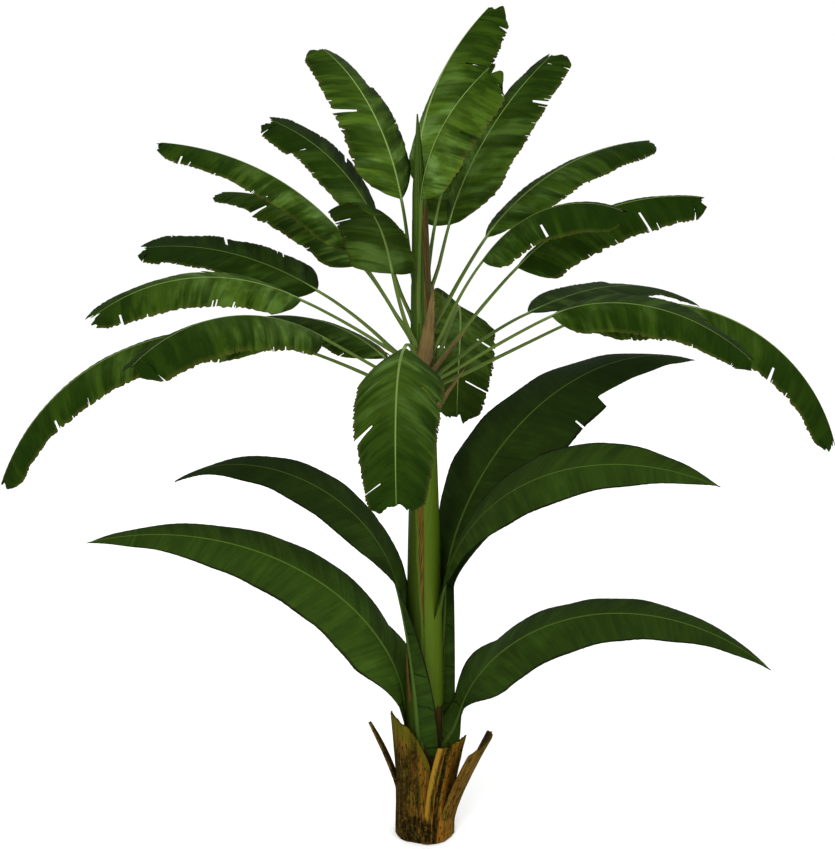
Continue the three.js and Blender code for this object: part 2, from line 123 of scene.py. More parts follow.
class Form:
    """A bmesh that starts as an operator's plain shape and is bent into its place, vertex by vertex."""

    def __init__(self) -> None:
        """Start with an empty mesh that can hold a leaf map and vertex marks."""
        self.mesh = bmesh.new()
        self.marks: dict[str, bmesh.types.BMLayerItem] = {}

    def slab(self, columns: int, rows: int) -> "Form":
        """Start as a closed thin slab.

        Args:
            columns: faces across, along X from -1 to 1.
            rows: faces along Y from -1 to 1.

        Returns:
            This form; z is 0 on its upper side and -1 on its under side.
        """
        bmesh.ops.create_grid(self.mesh, x_segments=columns, y_segments=rows, size=1)
        grown = bmesh.ops.extrude_face_region(self.mesh, geom=self.mesh.faces[:], use_keep_orig=True)
        under = [v for v in grown["geom"] if isinstance(v, bmesh.types.BMVert)]
        bmesh.ops.translate(self.mesh, verts=under, vec=(0, 0, -1))
        return self

    def tube(self, sides: int, rings: int) -> "Form":
        """Start as a closed upright tube of radius 1, from z 0 to z 1.

        Args:
            sides: faces round it.
            rings: rings of vertices between its two ends.

        Returns:
            This form.
        """
        bmesh.ops.create_cone(self.mesh, segments=sides, radius1=1, radius2=1, depth=1, cap_ends=True)
        bmesh.ops.translate(self.mesh, verts=self.mesh.verts[:], vec=(0, 0, 0.5))
        upright = [e for e in self.mesh.edges if abs(e.verts[0].co.z - e.verts[1].co.z) > 0.5]
        bmesh.ops.subdivide_edges(self.mesh, edges=upright, cuts=rings)
        for cap in [f for f in self.mesh.faces if len(f.verts) > 4]:
            bmesh.ops.poke(self.mesh, faces=[cap])
        return self

    def bend(self, place: Callable[[Vector], "Spot"]) -> "Form":
        """Move every vertex to where place puts it, and keep its map point and marks.

        Args:
            place: gives the spot for a vertex's starting point.

        Returns:
            This form, with its faces outward and smooth.
        """
        leaf_map = self.mesh.loops.layers.uv.new("leaf")
        spots = {v.index: place(v.co.copy()) for v in self._numbered()}
        for name in next(iter(spots.values())).marks:
            self.marks[name] = self.mesh.verts.layers.float.new(name)
        for vertex in self.mesh.verts:
            spot = spots[vertex.index]
            vertex.co = spot.at * MM
            for name, value in spot.marks.items():
                vertex[self.marks[name]] = value
        for face in self.mesh.faces:
            face.smooth = True
            for loop in face.loops:
                loop[leaf_map].uv = spots[loop.vert.index].map
        bmesh.ops.recalc_face_normals(self.mesh, faces=self.mesh.faces[:])
        return self

    def _numbered(self) -> bmesh.types.BMVertSeq:
        """The vertices, numbered afresh."""
        self.mesh.verts.index_update()
        return self.mesh.verts

    def piece(self, name: str, finish: bpy.types.Material, slot: str,
              stands_for: Sequence[str] = ()) -> bpy.types.Object:
        """Make the scene's object.

        Args:
            name: the piece's plain name.
            finish: its material.
            slot: not used.
            stands_for: the CAD nodes that it is shown in place of.

        Returns:
            The finished object, riding on the plant.
        """
        data = bpy.data.meshes.new(name)
        self.mesh.to_mesh(data)
        self.mesh.free()
        data.materials.append(finish)
        thing = show(name, data)
        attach(thing, "root")
        if stands_for:
            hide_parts(*stands_for)
        log.info("%s: %d faces", name, len(data.polygons))
        return thing


@dataclass(frozen=True)
class Spot:
    """Where a vertex goes, its point on the leaf map in metres, and its marks from 0 to 1."""

    at: Vector
    map: tuple[float, float]
    marks: dict[str, float]


# ---- Shader arithmetic ----------------------------------------------------------------------


class Value:
    """A number in a material that Python's operators can work on."""

    def __init__(self, shader: "Shader", socket: bpy.types.NodeSocket) -> None:
        """Wrap the output socket of a node of the shader."""
        self.shader = shader
        self.socket = socket

    def __add__(self, other: "Value | float") -> "Value":
        """Add."""
        return self.shader.math("ADD", self, other)

    def __radd__(self, other: float) -> "Value":
        """Add to a number."""
        return self.shader.math("ADD", other, self)

    def __sub__(self, other: "Value | float") -> "Value":
        """Take away."""
        return self.shader.math("SUBTRACT", self, other)

    def __rsub__(self, other: float) -> "Value":
        """Take away from a number."""
        return self.shader.math("SUBTRACT", other, self)

    def __mul__(self, other: "Value | float") -> "Value":
        """Multiply."""
        return self.shader.math("MULTIPLY", self, other)

    def __rmul__(self, other: float) -> "Value":
        """Multiply a number."""
        return self.shader.math("MULTIPLY", other, self)

    def size(self) -> "Value":
        """The value without its sign."""
        return self.shader.math("ABSOLUTE", self)

    def wave(self) -> "Value":
        """The sine of the value."""
        return self.shader.math("SINE", self)

    def rise(self, low: float, high: float) -> "Value":
        """Go from 0 at low to 1 at high, smoothly."""
        kind = {"interpolation_type": "SMOOTHSTEP", "clamp": True}
        return self.shader.value("ShaderNodeMapRange", kind, {0: self, 1: low, 2: high, 3: 0.0, 4: 1.0})


Colour = tuple[float, float, float]


class Shader:
    """A material that is put together from expressions."""

    def __init__(self, name: str) -> None:
        """Start an empty material.

        Args:
            name: its plain name.
        """
        self.material = bpy.data.materials.new(name)
        self.material.use_nodes = True
        self.nodes = self.material.node_tree.nodes
        self.nodes.clear()

    def node(self, kind: str, settings: dict[str, object], inputs: dict[int | str, object]
             ) -> bpy.types.ShaderNode:
        """Add a node.

        Args:
            kind: the node's type.
            settings: its properties, set before its sockets.
            inputs: a value, number, colour or socket for each input named.

        Returns:
            The node.
        """
        made = self.nodes.new(kind)
        for name, setting in settings.items():
            setattr(made, name, setting)
        for key, given in inputs.items():
            if isinstance(given, Value):
                given = given.socket
            if isinstance(given, bpy.types.NodeSocket):
                self.material.node_tree.links.new(given, made.inputs[key])
            elif isinstance(given, tuple) and made.inputs[key].type == "RGBA":
                made.inputs[key].default_value = (*given, 1.0)
            else:
                made.inputs[key].default_value = given
        return made

    def value(self, kind: str, settings: dict[str, object], inputs: dict[int | str, object],
              output: int | str = 0) -> Value:
        """Add a node and take one of its outputs as a number."""
        return Value(self, self.node(kind, settings, inputs).outputs[output])

    def math(self, operation: str, *terms: Value | float) -> Value:
        """Work out one operation on values and numbers."""
        return self.value("ShaderNodeMath", {"operation": operation}, dict(enumerate(terms)))

    def mark(self, name: str) -> Value:
        """Read a mark that the mesh's vertices carry."""
        return self.value("ShaderNodeAttribute", {"attribute_name": name}, {}, "Fac")

    def leaf_map(self) -> tuple[Value, Value]:
        """Read the distances along and across the piece, in metres.

        Returns:
            The distances, which come from its leaf map.
        """
        here = self.node("ShaderNodeUVMap", {"uv_map": "leaf"}, {}).outputs[0]
        parts = self.node("ShaderNodeSeparateXYZ", {}, {0: here})
        return Value(self, parts.outputs[0]), Value(self, parts.outputs[1])

    def noise(self, x: Value, y: Value, z: Value | float = 0.0, detail: float = 3.0,
              roughness: float = 0.55) -> Value:
        """Add smooth noise.

        Args:
            x: the point's first term, which already holds the noise's scale.
            y: its second.
            z: its third.
            detail: how many finer layers are added.
            roughness: how strong the finer layers are.

        Returns:
            The noise, from 0 to 1.
        """
        point = self.node("ShaderNodeCombineXYZ", {}, {0: x, 1: y, 2: z}).outputs[0]
        return self.value("ShaderNodeTexNoise", {}, {
            "Vector": point, "Scale": 1.0, "Detail": detail, "Roughness": roughness})

    def mix(self, low: "Colour | bpy.types.NodeSocket", high: "Colour | bpy.types.NodeSocket",
            share: Value | float) -> bpy.types.NodeSocket:
        """Blend from one colour to another."""
        blend = self.node("ShaderNodeMix", {"data_type": "RGBA"}, {0: share, 6: low, 7: high})
        return blend.outputs[2]

    def surface(self, colour: bpy.types.NodeSocket, roughness: Value | float, height: Value | None,
                relief: float, **fixed: float) -> bpy.types.Material:
        """Finish the material.

        Args:
            colour: the base colour.
            roughness: how matt it is.
            height: the fine relief, from 0 to 1, or None for none.
            relief: how deep that relief is, in metres.
            fixed: other sockets of the surface that are the same all over, with _ for a space.

        Returns:
            The material.
        """
        inputs: dict[int | str, object] = {"Base Color": colour, "Roughness": roughness}
        inputs.update({name.replace("_", " "): level for name, level in fixed.items()})
        if height is not None:
            bump = self.node("ShaderNodeBump", {}, {
                "Height": height, "Strength": 1.0, "Distance": relief})
            inputs["Normal"] = bump.outputs[0]
        shade = self.node("ShaderNodeBsdfPrincipled", {}, inputs)
        self.node("ShaderNodeOutputMaterial", {}, {0: shade.outputs[0]})
        return self.material


# ---- Finishes -------------------------------------------------------------------------------


@dataclass(frozen=True)
class LeafFinish:
    """A waxy blade: fine slanted veins, darker bands, a paler foot with painted sheen, a ragged dry edge,
    a painted-shade back.
    """

    name: str
    green: Colour
    painted_shade_green: Colour  # painted shade: the green of the most shaded leaves
    deep: Colour
    # paler green near the foot, which also carries the painted bluish sheen
    fresh: Colour
    # a dry edge on crown leaves, and on lower leaves a near-black rim of painted shade
    margin: Colour
    # painted shade: the darker colour of the under side
    back: Colour
    vein: float = 0.0085  # metres between veins
    bands: float = 1.0  # how strongly the darker bands show
    painted_back_shade: float = 0.5  # how far the under side is darkened towards back, its painted shade
    rings: float = 0.0  # how strongly old creases show across the stalk, and how pale its foot is, partly painted light
    rim: float = 0.86  # share of the half blade at which the margin's colour starts
    rim_depth: float = 0.5  # how strongly it shows
    gloss: float = 0.68

    def material(self) -> bpy.types.Material:
        """Make the blade's material.

        Returns:
            The material.
        """
        s = Shader(self.name)
        run, across = s.leaf_map()
        edge, under, tone, share, shade = (
            s.mark(name) for name in ("edge", "under", "tone", "share", "shade"))
        path = run - across.size() * Blade.SLANT
        wander = s.noise(path * 9.0, across * 3.0, tone * 20.0)
        veins = (path * (2 * math.pi / self.vein) + wander * 3.0).wave() * 0.5 + 0.5
        coarse = s.noise(path * 46.0, across * 3.0, tone * 11.0).rise(0.3, 0.7)
        band = s.noise(path * 10.0, across * 1.3, tone * 31.0, roughness=0.65).rise(0.43, 0.57)
        blotch = s.noise(path * 17.0, across * 6.0, tone * 17.0).rise(0.48, 0.64)
        painted_sheen = s.noise(path * 8.0, across * 5.0, tone * 23.0).rise(0.42, 0.62)
        # painted shade: a leaf that lies in shadow is painted a darker green
        colour = s.mix(self.green, self.painted_shade_green, shade)
        # painted sheen: bluish-green highlight blotches near the foot and rib, fainter at the edge and on
        # shaded leaves
        near = (1.0 - share.rise(0.15, 0.85)) * (1.0 - edge.rise(0.4, 1.0) * 0.6)
        near = near * (1.0 - shade * 0.85)
        colour = s.mix(colour, self.fresh, near * (0.1 + painted_sheen * 1.05))
        # a paler stalk foot: partly its own paler green, partly painted light where the stem shades it
        colour = s.mix(colour, self.fresh, (1.0 - share.rise(0.0, 0.06)) * self.rings * 0.2)
        # darker towards the tip, more so on leaves with painted shade
        far = share.rise(0.18, 0.9) * (0.55 + shade * 0.3 + blotch * 0.2)
        colour = s.mix(colour, self.deep, far * self.bands)
        colour = s.mix(colour, self.deep, band * (0.34 + edge * 0.6) * self.bands)
        colour = s.mix(colour, self.deep, blotch * (0.2 + edge * 0.4) * self.bands)
        colour = s.mix(colour, self.deep, (1.0 - veins) * 0.14 + coarse * 0.3)
        # on crown leaves a ragged dry edge; on lower leaves a near-black rim, painted shade
        rim = edge.rise(self.rim, 1.0) * (0.1 + wander * self.rim_depth)
        colour = s.mix(colour, self.margin, rim)
        # painted shade: the under side is darkened towards back
        colour = s.mix(colour, self.back, under.rise(0.3, 0.7) * self.painted_back_shade)
        crease = (run * 31.0 + across * 2.0 + wander * 4.0).wave().rise(0.975, 0.995)
        colour = s.mix(colour, self.deep, crease * (1.0 - share.rise(0.0, 0.04)) * self.rings)
        height = veins * 0.35 + coarse * 0.65
        rough = self.gloss + wander * 0.16 + under * 0.15
        return s.surface(colour, rough, height, 0.0011, Specular_IOR_Level=0.014)


@dataclass(frozen=True)
class RibFinish:
    """A leaf's midrib and stalk: pale on the upper side along the blade, greener and streaked below."""

    name: str
    pale: Colour
    green: Colour
    brown: Colour

    def material(self) -> bpy.types.Material:
        """Make the rib's material.

        Returns:
            The material.
        """
        s = Shader(self.name)
        run, across = s.leaf_map()
        upper, share, tone, shade = (s.mark(n) for n in ("upper", "share", "tone", "shade"))
        streak = s.noise(run * 4.0, across * 260.0, tone * 13.0)
        # painted shade: the pale upper rib is dimmed along the blade of shaded leaves
        painted_shade_dim = 1.0 - shade * share.rise(0.0, 0.1) * 0.85
        below = (1.0 - upper.rise(0.35, 0.9)) * share.rise(0.0, 0.05) * 0.6
        light = (upper.rise(0.35, 0.9) + below) * (0.55 + streak * 0.4)
        colour = s.mix(self.green, self.pale, light * painted_shade_dim)
        flecks = s.noise(run * 11.0, across * 90.0, tone * 5.0).rise(0.6, 0.78)
        colour = s.mix(colour, self.brown, flecks * 0.45)
        colour = s.mix(colour, self.green, share.rise(0.7, 1.0) * 0.6)
        return s.surface(colour, 0.6 + streak * 0.15, streak, 0.0008, Specular_IOR_Level=0.04)


@dataclass(frozen=True)
class StemFinish:
    """Wrapped sheaths: smooth green, a dry brown margin on each, scuffs and fine lengthwise lines."""

    name: str
    bright: Colour
    dark: Colour
    pale: Colour
    dry: Colour
    soot: Colour

    def material(self) -> bpy.types.Material:
        """Make the stem's material.

        Returns:
            The material.
        """
        s = Shader(self.name)
        height, around = s.leaf_map()
        light, dry, lap = s.mark("light"), s.mark("dry"), s.mark("lap")
        lines = s.noise(height * 2.0, around * 190.0, 1.0)
        mottle = s.noise(height * 16.0, around * 24.0, 4.0)
        colour = s.mix(self.dark, self.bright, light * 0.85 + mottle * 0.15)
        colour = s.mix(colour, self.pale, lap * (0.4 + mottle * 0.4))
        colour = s.mix(colour, self.dark, lines.rise(0.5, 0.8) * 0.35)
        fibre = s.noise(height * 5.0, around * 320.0, 9.0, detail=5.0)
        husk = s.mix(self.dry, self.soot, fibre.rise(0.43, 0.6) * 0.9)
        low = 1.0 - height.rise(0.66, 0.8)  # darker towards the bottom
        husk = s.mix(husk, self.soot, low * 0.6)
        colour = s.mix(colour, husk, dry.rise(0.35, 0.6))
        spots = s.noise(height * 45.0, around * 60.0, 7.0).rise(0.68, 0.76)
        colour = s.mix(colour, self.soot, spots * 0.5)
        rough = 0.42 + mottle * 0.12 + dry * 0.35
        return s.surface(colour, rough, lines * 0.4 + fibre * dry, 0.0016, Specular_IOR_Level=0.05)


@dataclass(frozen=True)
class HuskFinish:
    """Old cut sheath: fibrous, yellow-brown, streaked and spotted black, golden at one margin."""

    name: str
    straw: Colour
    brown: Colour
    moss: Colour
    soot: Colour
    gold: Colour
    rust: Colour

    def material(self) -> bpy.types.Material:
        """Make the husk's material.

        Returns:
            The material.
        """
        s = Shader(self.name)
        height, around = s.leaf_map()
        green, gold, dark, rust = (s.mark(n) for n in ("green", "gold", "dark", "rust"))
        fibre = s.noise(height * 6.0, around * 190.0, 2.0, detail=6.0, roughness=0.62)
        broad = s.noise(height * 3.5, around * 34.0, 5.0)
        dashes = s.noise(height * 26.0, around * 95.0, 3.0, roughness=0.6)
        mottle = s.noise(height * 60.0, around * 64.0, 6.0, detail=4.0, roughness=0.65)
        colour = s.mix(self.straw, self.brown, broad.rise(0.4, 0.6))
        damp = s.noise(height * 5.0, around * 50.0, 8.0).rise(0.48, 0.62)
        colour = s.mix(colour, self.moss, damp * 0.85)
        colour = s.mix(colour, self.rust, rust * (0.45 + fibre * 0.7))
        colour = s.mix(colour, self.soot, fibre.rise(0.44, 0.64) * 0.7)
        colour = s.mix(colour, self.soot, dashes.rise(0.53, 0.62) * 0.85)
        colour = s.mix(colour, self.moss, green)
        colour = s.mix(colour, self.gold, gold * (0.45 + fibre * 0.6))
        worn = s.noise(height * 9.0, around * 80.0, 12.0, detail=4.0, roughness=0.6).rise(0.34, 0.6)
        colour = s.mix(colour, self.soot, dark * (0.45 + worn * 0.4 + mottle.rise(0.35, 0.55) * 0.3))
        rough = 0.78 + fibre * 0.2
        relief = fibre * 0.6 + broad * 0.2 + dashes * 0.2
        return s.surface(colour, rough, relief, 0.0035, Specular_IOR_Level=0.015)


@dataclass(frozen=True)
class PaperFinish:
    """Dry papery leaf remains: grey-brown to tan, finely lined, darker at the edges."""

    name: str
    tan: Colour
    brown: Colour
    dark: Colour

    def material(self) -> bpy.types.Material:
        """Make the paper's material.

        Returns:
            The material.
        """
        s = Shader(self.name)
        run, across = s.leaf_map()
        tone, edge = s.mark("tone"), s.mark("edge")
        lines = s.noise(run * 5.0, across * 300.0, tone * 9.0, detail=5.0)
        broad = s.noise(run * 8.0, across * 45.0, tone * 3.0)
        colour = s.mix(self.tan, self.brown, broad.rise(0.38, 0.66))
        colour = s.mix(colour, self.dark, lines.rise(0.5, 0.72) * 0.7)
        colour = s.mix(colour, self.dark, edge.rise(0.75, 1.0) * 0.45)
        return s.surface(colour, 0.85, lines, 0.002, Specular_IOR_Level=0.08)


class Finishes:
    """Every finish on the plant, made once."""

    def __init__(self) -> None:
        """Make the plant's materials."""
        self.crown = LeafFinish(
            "crown_leaf_finish", green=(0.062, 0.120, 0.008), painted_shade_green=(0.018, 0.042, 0.002),
            deep=(0.006, 0.016, 0.001), fresh=(0.132, 0.236, 0.050), margin=(0.060, 0.062, 0.010),
            back=(0.012, 0.022, 0.003)).material()
        # the lower leaves' near-black margin and back are painted shade
        self.lower = LeafFinish(
            "lower_leaf_finish", green=(0.030, 0.060, 0.006), painted_shade_green=(0.010, 0.020, 0.003),
            deep=(0.006, 0.014, 0.002), fresh=(0.036, 0.078, 0.008), margin=(0.004, 0.004, 0.002),
            back=(0.003, 0.005, 0.002), vein=0.011, bands=0.45, painted_back_shade=1.0, rings=0.8,
            rim=0.91, rim_depth=1.7).material()
        self.crown_rib = RibFinish(
            "crown_rib_finish", pale=(0.21, 0.32, 0.085), green=(0.060, 0.095, 0.016),
            brown=(0.08, 0.055, 0.015)).material()
        self.lower_rib = RibFinish(
            "lower_rib_finish", pale=(0.058, 0.105, 0.012), green=(0.036, 0.066, 0.009),
            brown=(0.03, 0.03, 0.008)).material()
        self.stem = StemFinish(
            "stem_finish", bright=(0.054, 0.092, 0.005), dark=(0.022, 0.038, 0.004),
            pale=(0.076, 0.124, 0.012), dry=(0.102, 0.059, 0.007),
            soot=(0.009, 0.006, 0.003)).material()
        self.roll = StemFinish(
            "roll_finish", bright=(0.055, 0.105, 0.008), dark=(0.011, 0.026, 0.003),
            pale=(0.080, 0.135, 0.014), dry=(0.068, 0.038, 0.010),
            soot=(0.010, 0.006, 0.003)).material()
        self.husk = HuskFinish(
            "husk_finish", straw=(0.190, 0.115, 0.012), brown=(0.140, 0.062, 0.007),
            moss=(0.088, 0.080, 0.005), soot=(0.006, 0.004, 0.001), gold=(0.220, 0.122, 0.012),
            rust=(0.19, 0.066, 0.006)).material()
        self.paper = PaperFinish(
            "paper_finish", tan=(0.112, 0.077, 0.027), brown=(0.070, 0.044, 0.015),
            dark=(0.030, 0.018, 0.007)).material()
        self.strip = PaperFinish(
            "strip_finish", tan=(0.085, 0.050, 0.010), brown=(0.040, 0.020, 0.006),
            dark=(0.009, 0.006, 0.003)).material()


# ---- The plant's sizes ----------------------------------------------------------------------


class Side(Enum):
    """The two halves of a blade; each half's value is the sign of its across direction."""

    NEAR = -1
    FAR = 1


class Kind(Enum):
    """The kinds of leaf, by outline and stalk."""

    CROWN = "crown"
    LOWER = "lower"
    DRY = "dry"


STUMP_RADIUS, STUMP_HEIGHT, STUMP_SHOULDER = 136.0, 330.0, 118.0
STEM_TOP, ROLL_TOP, LEAN = 2480.0, 3560.0, 36.0
STEM_PROFILE = ((0, 102), (500, 95), (1000, 88), (1500, 78), (2000, 64), (2480, 55),
                (2800, 46), (3200, 34), (3560, 3))
SUNK = 8.0  # how far inside the stem a low or dry piece starts


def stem_centre(z: float) -> Vector:
    """The middle of the leaning stem at a height."""
    return Vector((-LEAN * max(0.0, z / ROLL_TOP) ** 3, 0, z))


@dataclass(frozen=True)
class Tear:
    """A slot torn in from a blade's edge: its place along the blade, its side, its depth as a share.

    Where heals is given, the edge past it is torn off too, and comes back out over that share of
    the blade.
    """

    share: float
    side: Side
    depth: float
    half: float = 8.0
    heals: float = 0.0


@dataclass(frozen=True)
class Leaf:
    """One leaf's sizes.

    rise, level and fall are the rib's pitch where the stalk leaves the stem, where the blade starts
    and at its tip; bend shapes the curve between the last two; veer turns the heading on the way
    out. roll tips the blade about its rib and droop hangs its halves down. A crown blade is at its
    full width from shoulder on, and a lower one at swell, widening from foot. turn tips a stalk's
    foot about its rib, and shade is painted shade: how much darker a shaded leaf's green is painted.
    """

    name: str
    heading: float
    seat: float = 440.0
    rise: float = 60.0
    level: float | None = None
    fall: float = 0.0
    stalk: float = 1.0
    blade: float = 1000.0
    width: float = 365.0
    seat_heading: float | None = None
    bend: float = 1.0
    veer: float = 0.0
    roll: float = 0.0
    droop: float = 24.0
    swell: float = 0.35
    foot: float = 0.2
    shoulder: float = 0.2
    turn: float | None = None
    shade: float = 0.4
    tears: tuple[Tear, ...] = ()
    kind: Kind = Kind.CROWN

    @property
    def length(self) -> float:
        """Stalk and blade together."""
        return self.stalk + self.blade

    @property
    def foot_heading(self) -> float:
        """The heading at which the stalk leaves the stem."""
        return self.heading if self.seat_heading is None else self.seat_heading

    def marks(self, u: float, seed: int) -> dict[str, float]:
        """The marks that blade and stalk share, at a share u of the blade's length."""
        return {"share": u, "tone": (seed * TONE_STEP) % 1, "shade": self.shade}


@dataclass(frozen=True)
class Streak:
    """A lengthwise band of one colour on a sheath: how strong, and its middle and half width as shares."""

    strength: float
    middle: float
    half: float

    def at(self, across: float) -> float:
        """How strong the band is at a place across the sheath."""
        return self.strength * (1 - smooth(abs(across - self.middle), self.half * 0.6, self.half))


@dataclass(frozen=True)
class Sheath:
    """One old cut sheath on the stump.

    spread is how many degrees it wraps at its foot, narrowing to taper of that at its cut. It stands out
    by flare at the cut, from bend upwards, is cut slant higher at its far corner, where curl dips it
    again, and leans round by lean. fresh is how green it still is near its cut, aged how blackened it is
    all over, and laps says that it lies over its neighbours' margins.
    """

    name: str
    heading: float
    spread: float
    top: float
    flare: float
    taper: float
    slant: float
    bend: float
    lean: float
    curl: float = 0.0
    fresh: float = 0.1
    aged: float = 0.0
    laps: bool = False
    gold: tuple[Streak, ...] = (Streak(0.3, -0.5, 0.08),)
    black: tuple[Streak, ...] = (Streak(0.4, 0.15, 0.1),)
    rust: tuple[Streak, ...] = (Streak(0.35, -0.2, 0.1),)


def lower(name: str, **sizes: float | tuple[Tear, ...]) -> Leaf:
    """A broad smooth leaf that rises low down."""
    return Leaf(name, kind=Kind.LOWER, **sizes)


def dry(name: str, **sizes: float) -> Leaf:
    """A dry remnant whose halves curl up."""
    return Leaf(name, droop=-12, kind=Kind.DRY, **sizes)


FAR, NEAR = Side.FAR, Side.NEAR
# each leaf's shade is painted shade: how much darker its green is painted where it lies in shadow
HIGH_TIER = (
    Leaf("crown_leaf_01", shade=0.25, heading=105, seat_heading=114, seat=2840, rise=78, level=71,
         fall=40, bend=0.6, veer=-78, stalk=420, blade=1040, width=470, roll=14, droop=56,
         tears=(Tear(0.6, FAR, 0.6), Tear(0.88, FAR, 0.95), Tear(0.45, NEAR, 0.5))),
    Leaf("crown_leaf_02", shade=0.6, heading=76, seat=2620, rise=76, level=58, fall=5, veer=-12,
         stalk=440, blade=900, width=300, roll=-4, shoulder=0.13,
         tears=(Tear(0.55, FAR, 0.5), Tear(0.7, NEAR, 0.6))),
    Leaf("crown_leaf_03", shade=0.0, heading=268, seat_heading=248, seat=2570, rise=88, level=84,
         fall=40, bend=0.66, veer=76, stalk=615, blade=755, width=470, roll=-38, droop=38,
         tears=(Tear(0.5, FAR, 0.45), Tear(0.92, FAR, 0.4), Tear(0.62, NEAR, 0.5))),
    Leaf("crown_leaf_04", shade=0.45, heading=27, seat=2710, rise=76, level=73, fall=27,
         bend=0.86, veer=20, stalk=350, blade=1070, width=392, roll=2, droop=22, shoulder=0.26,
         tears=(Tear(0.62, FAR, 0.4), Tear(0.9, FAR, 0.85), Tear(0.5, NEAR, 0.5))),
    Leaf("crown_leaf_05", shade=0.0, heading=146, seat_heading=160, seat=2750, rise=88, level=76,
         fall=17, bend=1.1, veer=-20, stalk=425, blade=955, roll=1, shoulder=0.2,
         tears=(Tear(0.45, NEAR, 0.6), Tear(0.92, NEAR, 0.5), Tear(0.6, FAR, 0.45))),
    Leaf("crown_leaf_06", shade=0.85, heading=172, seat=2590, rise=73, level=69, fall=16,
         veer=-10, stalk=450, blade=795, width=368, roll=12, droop=13, shoulder=0.35,
         tears=(Tear(0.62, NEAR, 0.6), Tear(0.92, NEAR, 0.5), Tear(0.4, FAR, 0.4))),
)
MIDDLE_TIER = (
    Leaf("crown_leaf_07", shade=0.45, heading=188, seat=2515, rise=63, level=55, fall=3,
         stalk=505, blade=1070, roll=6, droop=28,
         tears=(Tear(0.5, FAR, 0.5), Tear(0.85, NEAR, 0.35))),
    Leaf("crown_leaf_08", shade=0.45, heading=150, seat=2480, rise=62, level=44, fall=-9,
         bend=1.1, stalk=460, blade=930, width=335, roll=0, droop=25, shoulder=0.13,
         tears=(Tear(0.58, NEAR, 0.55), Tear(0.4, FAR, 0.6))),
    Leaf("crown_leaf_09", shade=0.5, heading=236, seat=2485, rise=56, level=70, fall=-10,
         bend=1.6, veer=10, stalk=425, blade=620, width=365, droop=24, shoulder=0.13,
         tears=(Tear(0.5, FAR, 0.4), Tear(0.7, NEAR, 0.4))),
    Leaf("crown_leaf_10", shade=1.0, heading=168, seat=2375, rise=48, level=29, fall=-11,
         bend=1.15, stalk=580, blade=930, width=390, roll=15, droop=8, shoulder=0.13,
         tears=(Tear(0.75, NEAR, 0.35), Tear(0.93, NEAR, 0.4), Tear(0.5, FAR, 0.5))),
    Leaf("crown_leaf_11", shade=0.45, heading=200, seat=2405, rise=37, level=28, fall=-38,
         bend=1.15, stalk=630, blade=1040, width=385, roll=13, droop=17,
         tears=(Tear(0.84, NEAR, 0.4), Tear(0.35, FAR, 0.5))),
    Leaf("crown_leaf_12", shade=0.7, heading=42, seat=2530, rise=56, level=45, fall=-2, bend=0.74,
         stalk=560, blade=1290, width=310, roll=-6, droop=30, shoulder=0.3,
         tears=(Tear(0.45, FAR, 0.35), Tear(0.6, NEAR, 0.6))),
    Leaf("crown_leaf_13", shade=0.95, heading=325, seat=2425, rise=71, level=53, fall=-26,
         bend=1.3, veer=20, stalk=560, blade=790, width=430, roll=-14, droop=22,
         tears=(Tear(0.42, FAR, 0.5), Tear(0.6, NEAR, 0.5))),
    Leaf("crown_leaf_14", shade=1.0, heading=6, seat=2380, rise=55, level=47, fall=-8, veer=-6,
         stalk=610, blade=985, width=375, roll=-22, droop=38, shoulder=0.14,
         tears=(Tear(0.62, FAR, 0.6), Tear(0.93, FAR, 0.45), Tear(0.4, NEAR, 0.5))),
)
LOW_TIER = (
    Leaf("crown_leaf_15", shade=0.62, heading=178, seat=2248, rise=28, level=18, fall=-72,
         veer=16, stalk=665, blade=1655, width=365, roll=12, droop=27,
         tears=(Tear(0.3, FAR, 0.5), Tear(0.7, NEAR, 0.3), Tear(0.62, FAR, 0.6))),
    Leaf("crown_leaf_16", shade=0.7, heading=212, seat=2297, rise=31, level=31, fall=-37,
         bend=1.1, veer=13, stalk=575, blade=1095, width=500, roll=-2, droop=26,
         tears=(Tear(0.4, NEAR, 0.25), Tear(0.93, NEAR, 0.5), Tear(0.6, FAR, 0.5))),
    Leaf("crown_leaf_17", shade=0.8, heading=128, seat=2235, rise=39, level=24, fall=-15,
         bend=0.7, stalk=280, blade=1180, width=300, roll=2, droop=26,
         tears=(Tear(0.5, NEAR, 0.5), Tear(0.7, FAR, 0.6))),
    Leaf("crown_leaf_18", shade=0.65, heading=260, seat=2362, rise=47, level=0, fall=-58,
         bend=1.1, veer=13, stalk=620, blade=1090, width=440, droop=34,
         tears=(Tear(0.3, NEAR, 0.55), Tear(0.55, FAR, 0.5), Tear(0.85, FAR, 0.6))),
    Leaf("crown_leaf_19", shade=0.1, heading=68, seat=2230, rise=53, level=-6, fall=-90, bend=0.6,
         veer=34, stalk=820, blade=915, width=405, roll=-36, droop=-5,
         tears=(Tear(0.32, FAR, 0.5), Tear(0.7, FAR, 0.75), Tear(0.5, NEAR, 0.5))),
    Leaf("crown_leaf_20", shade=0.95, heading=38, seat=2310, rise=33, level=14, fall=-28,
         bend=1.3, stalk=660, blade=1210, width=360, roll=-4, droop=8, shoulder=0.3,
         tears=(Tear(0.5, NEAR, 0.6), Tear(0.72, FAR, 0.5))),
    Leaf("crown_leaf_21", shade=0.9, heading=335, seat=2312, rise=36, level=29, fall=-44,
         bend=0.82, veer=14, stalk=680, blade=1010, width=355, roll=-16, droop=16,
         tears=(Tear(0.5, FAR, 0.3), Tear(0.66, NEAR, 0.5))),
    Leaf("crown_leaf_22", shade=0.8, heading=8, seat=2285, rise=25, level=26, fall=-77, veer=-20,
         stalk=705, blade=1625, width=365, roll=-16, droop=40,
         tears=(Tear(0.3, NEAR, 0.5), Tear(0.64, FAR, 0.4), Tear(0.8, NEAR, 0.4))),
)
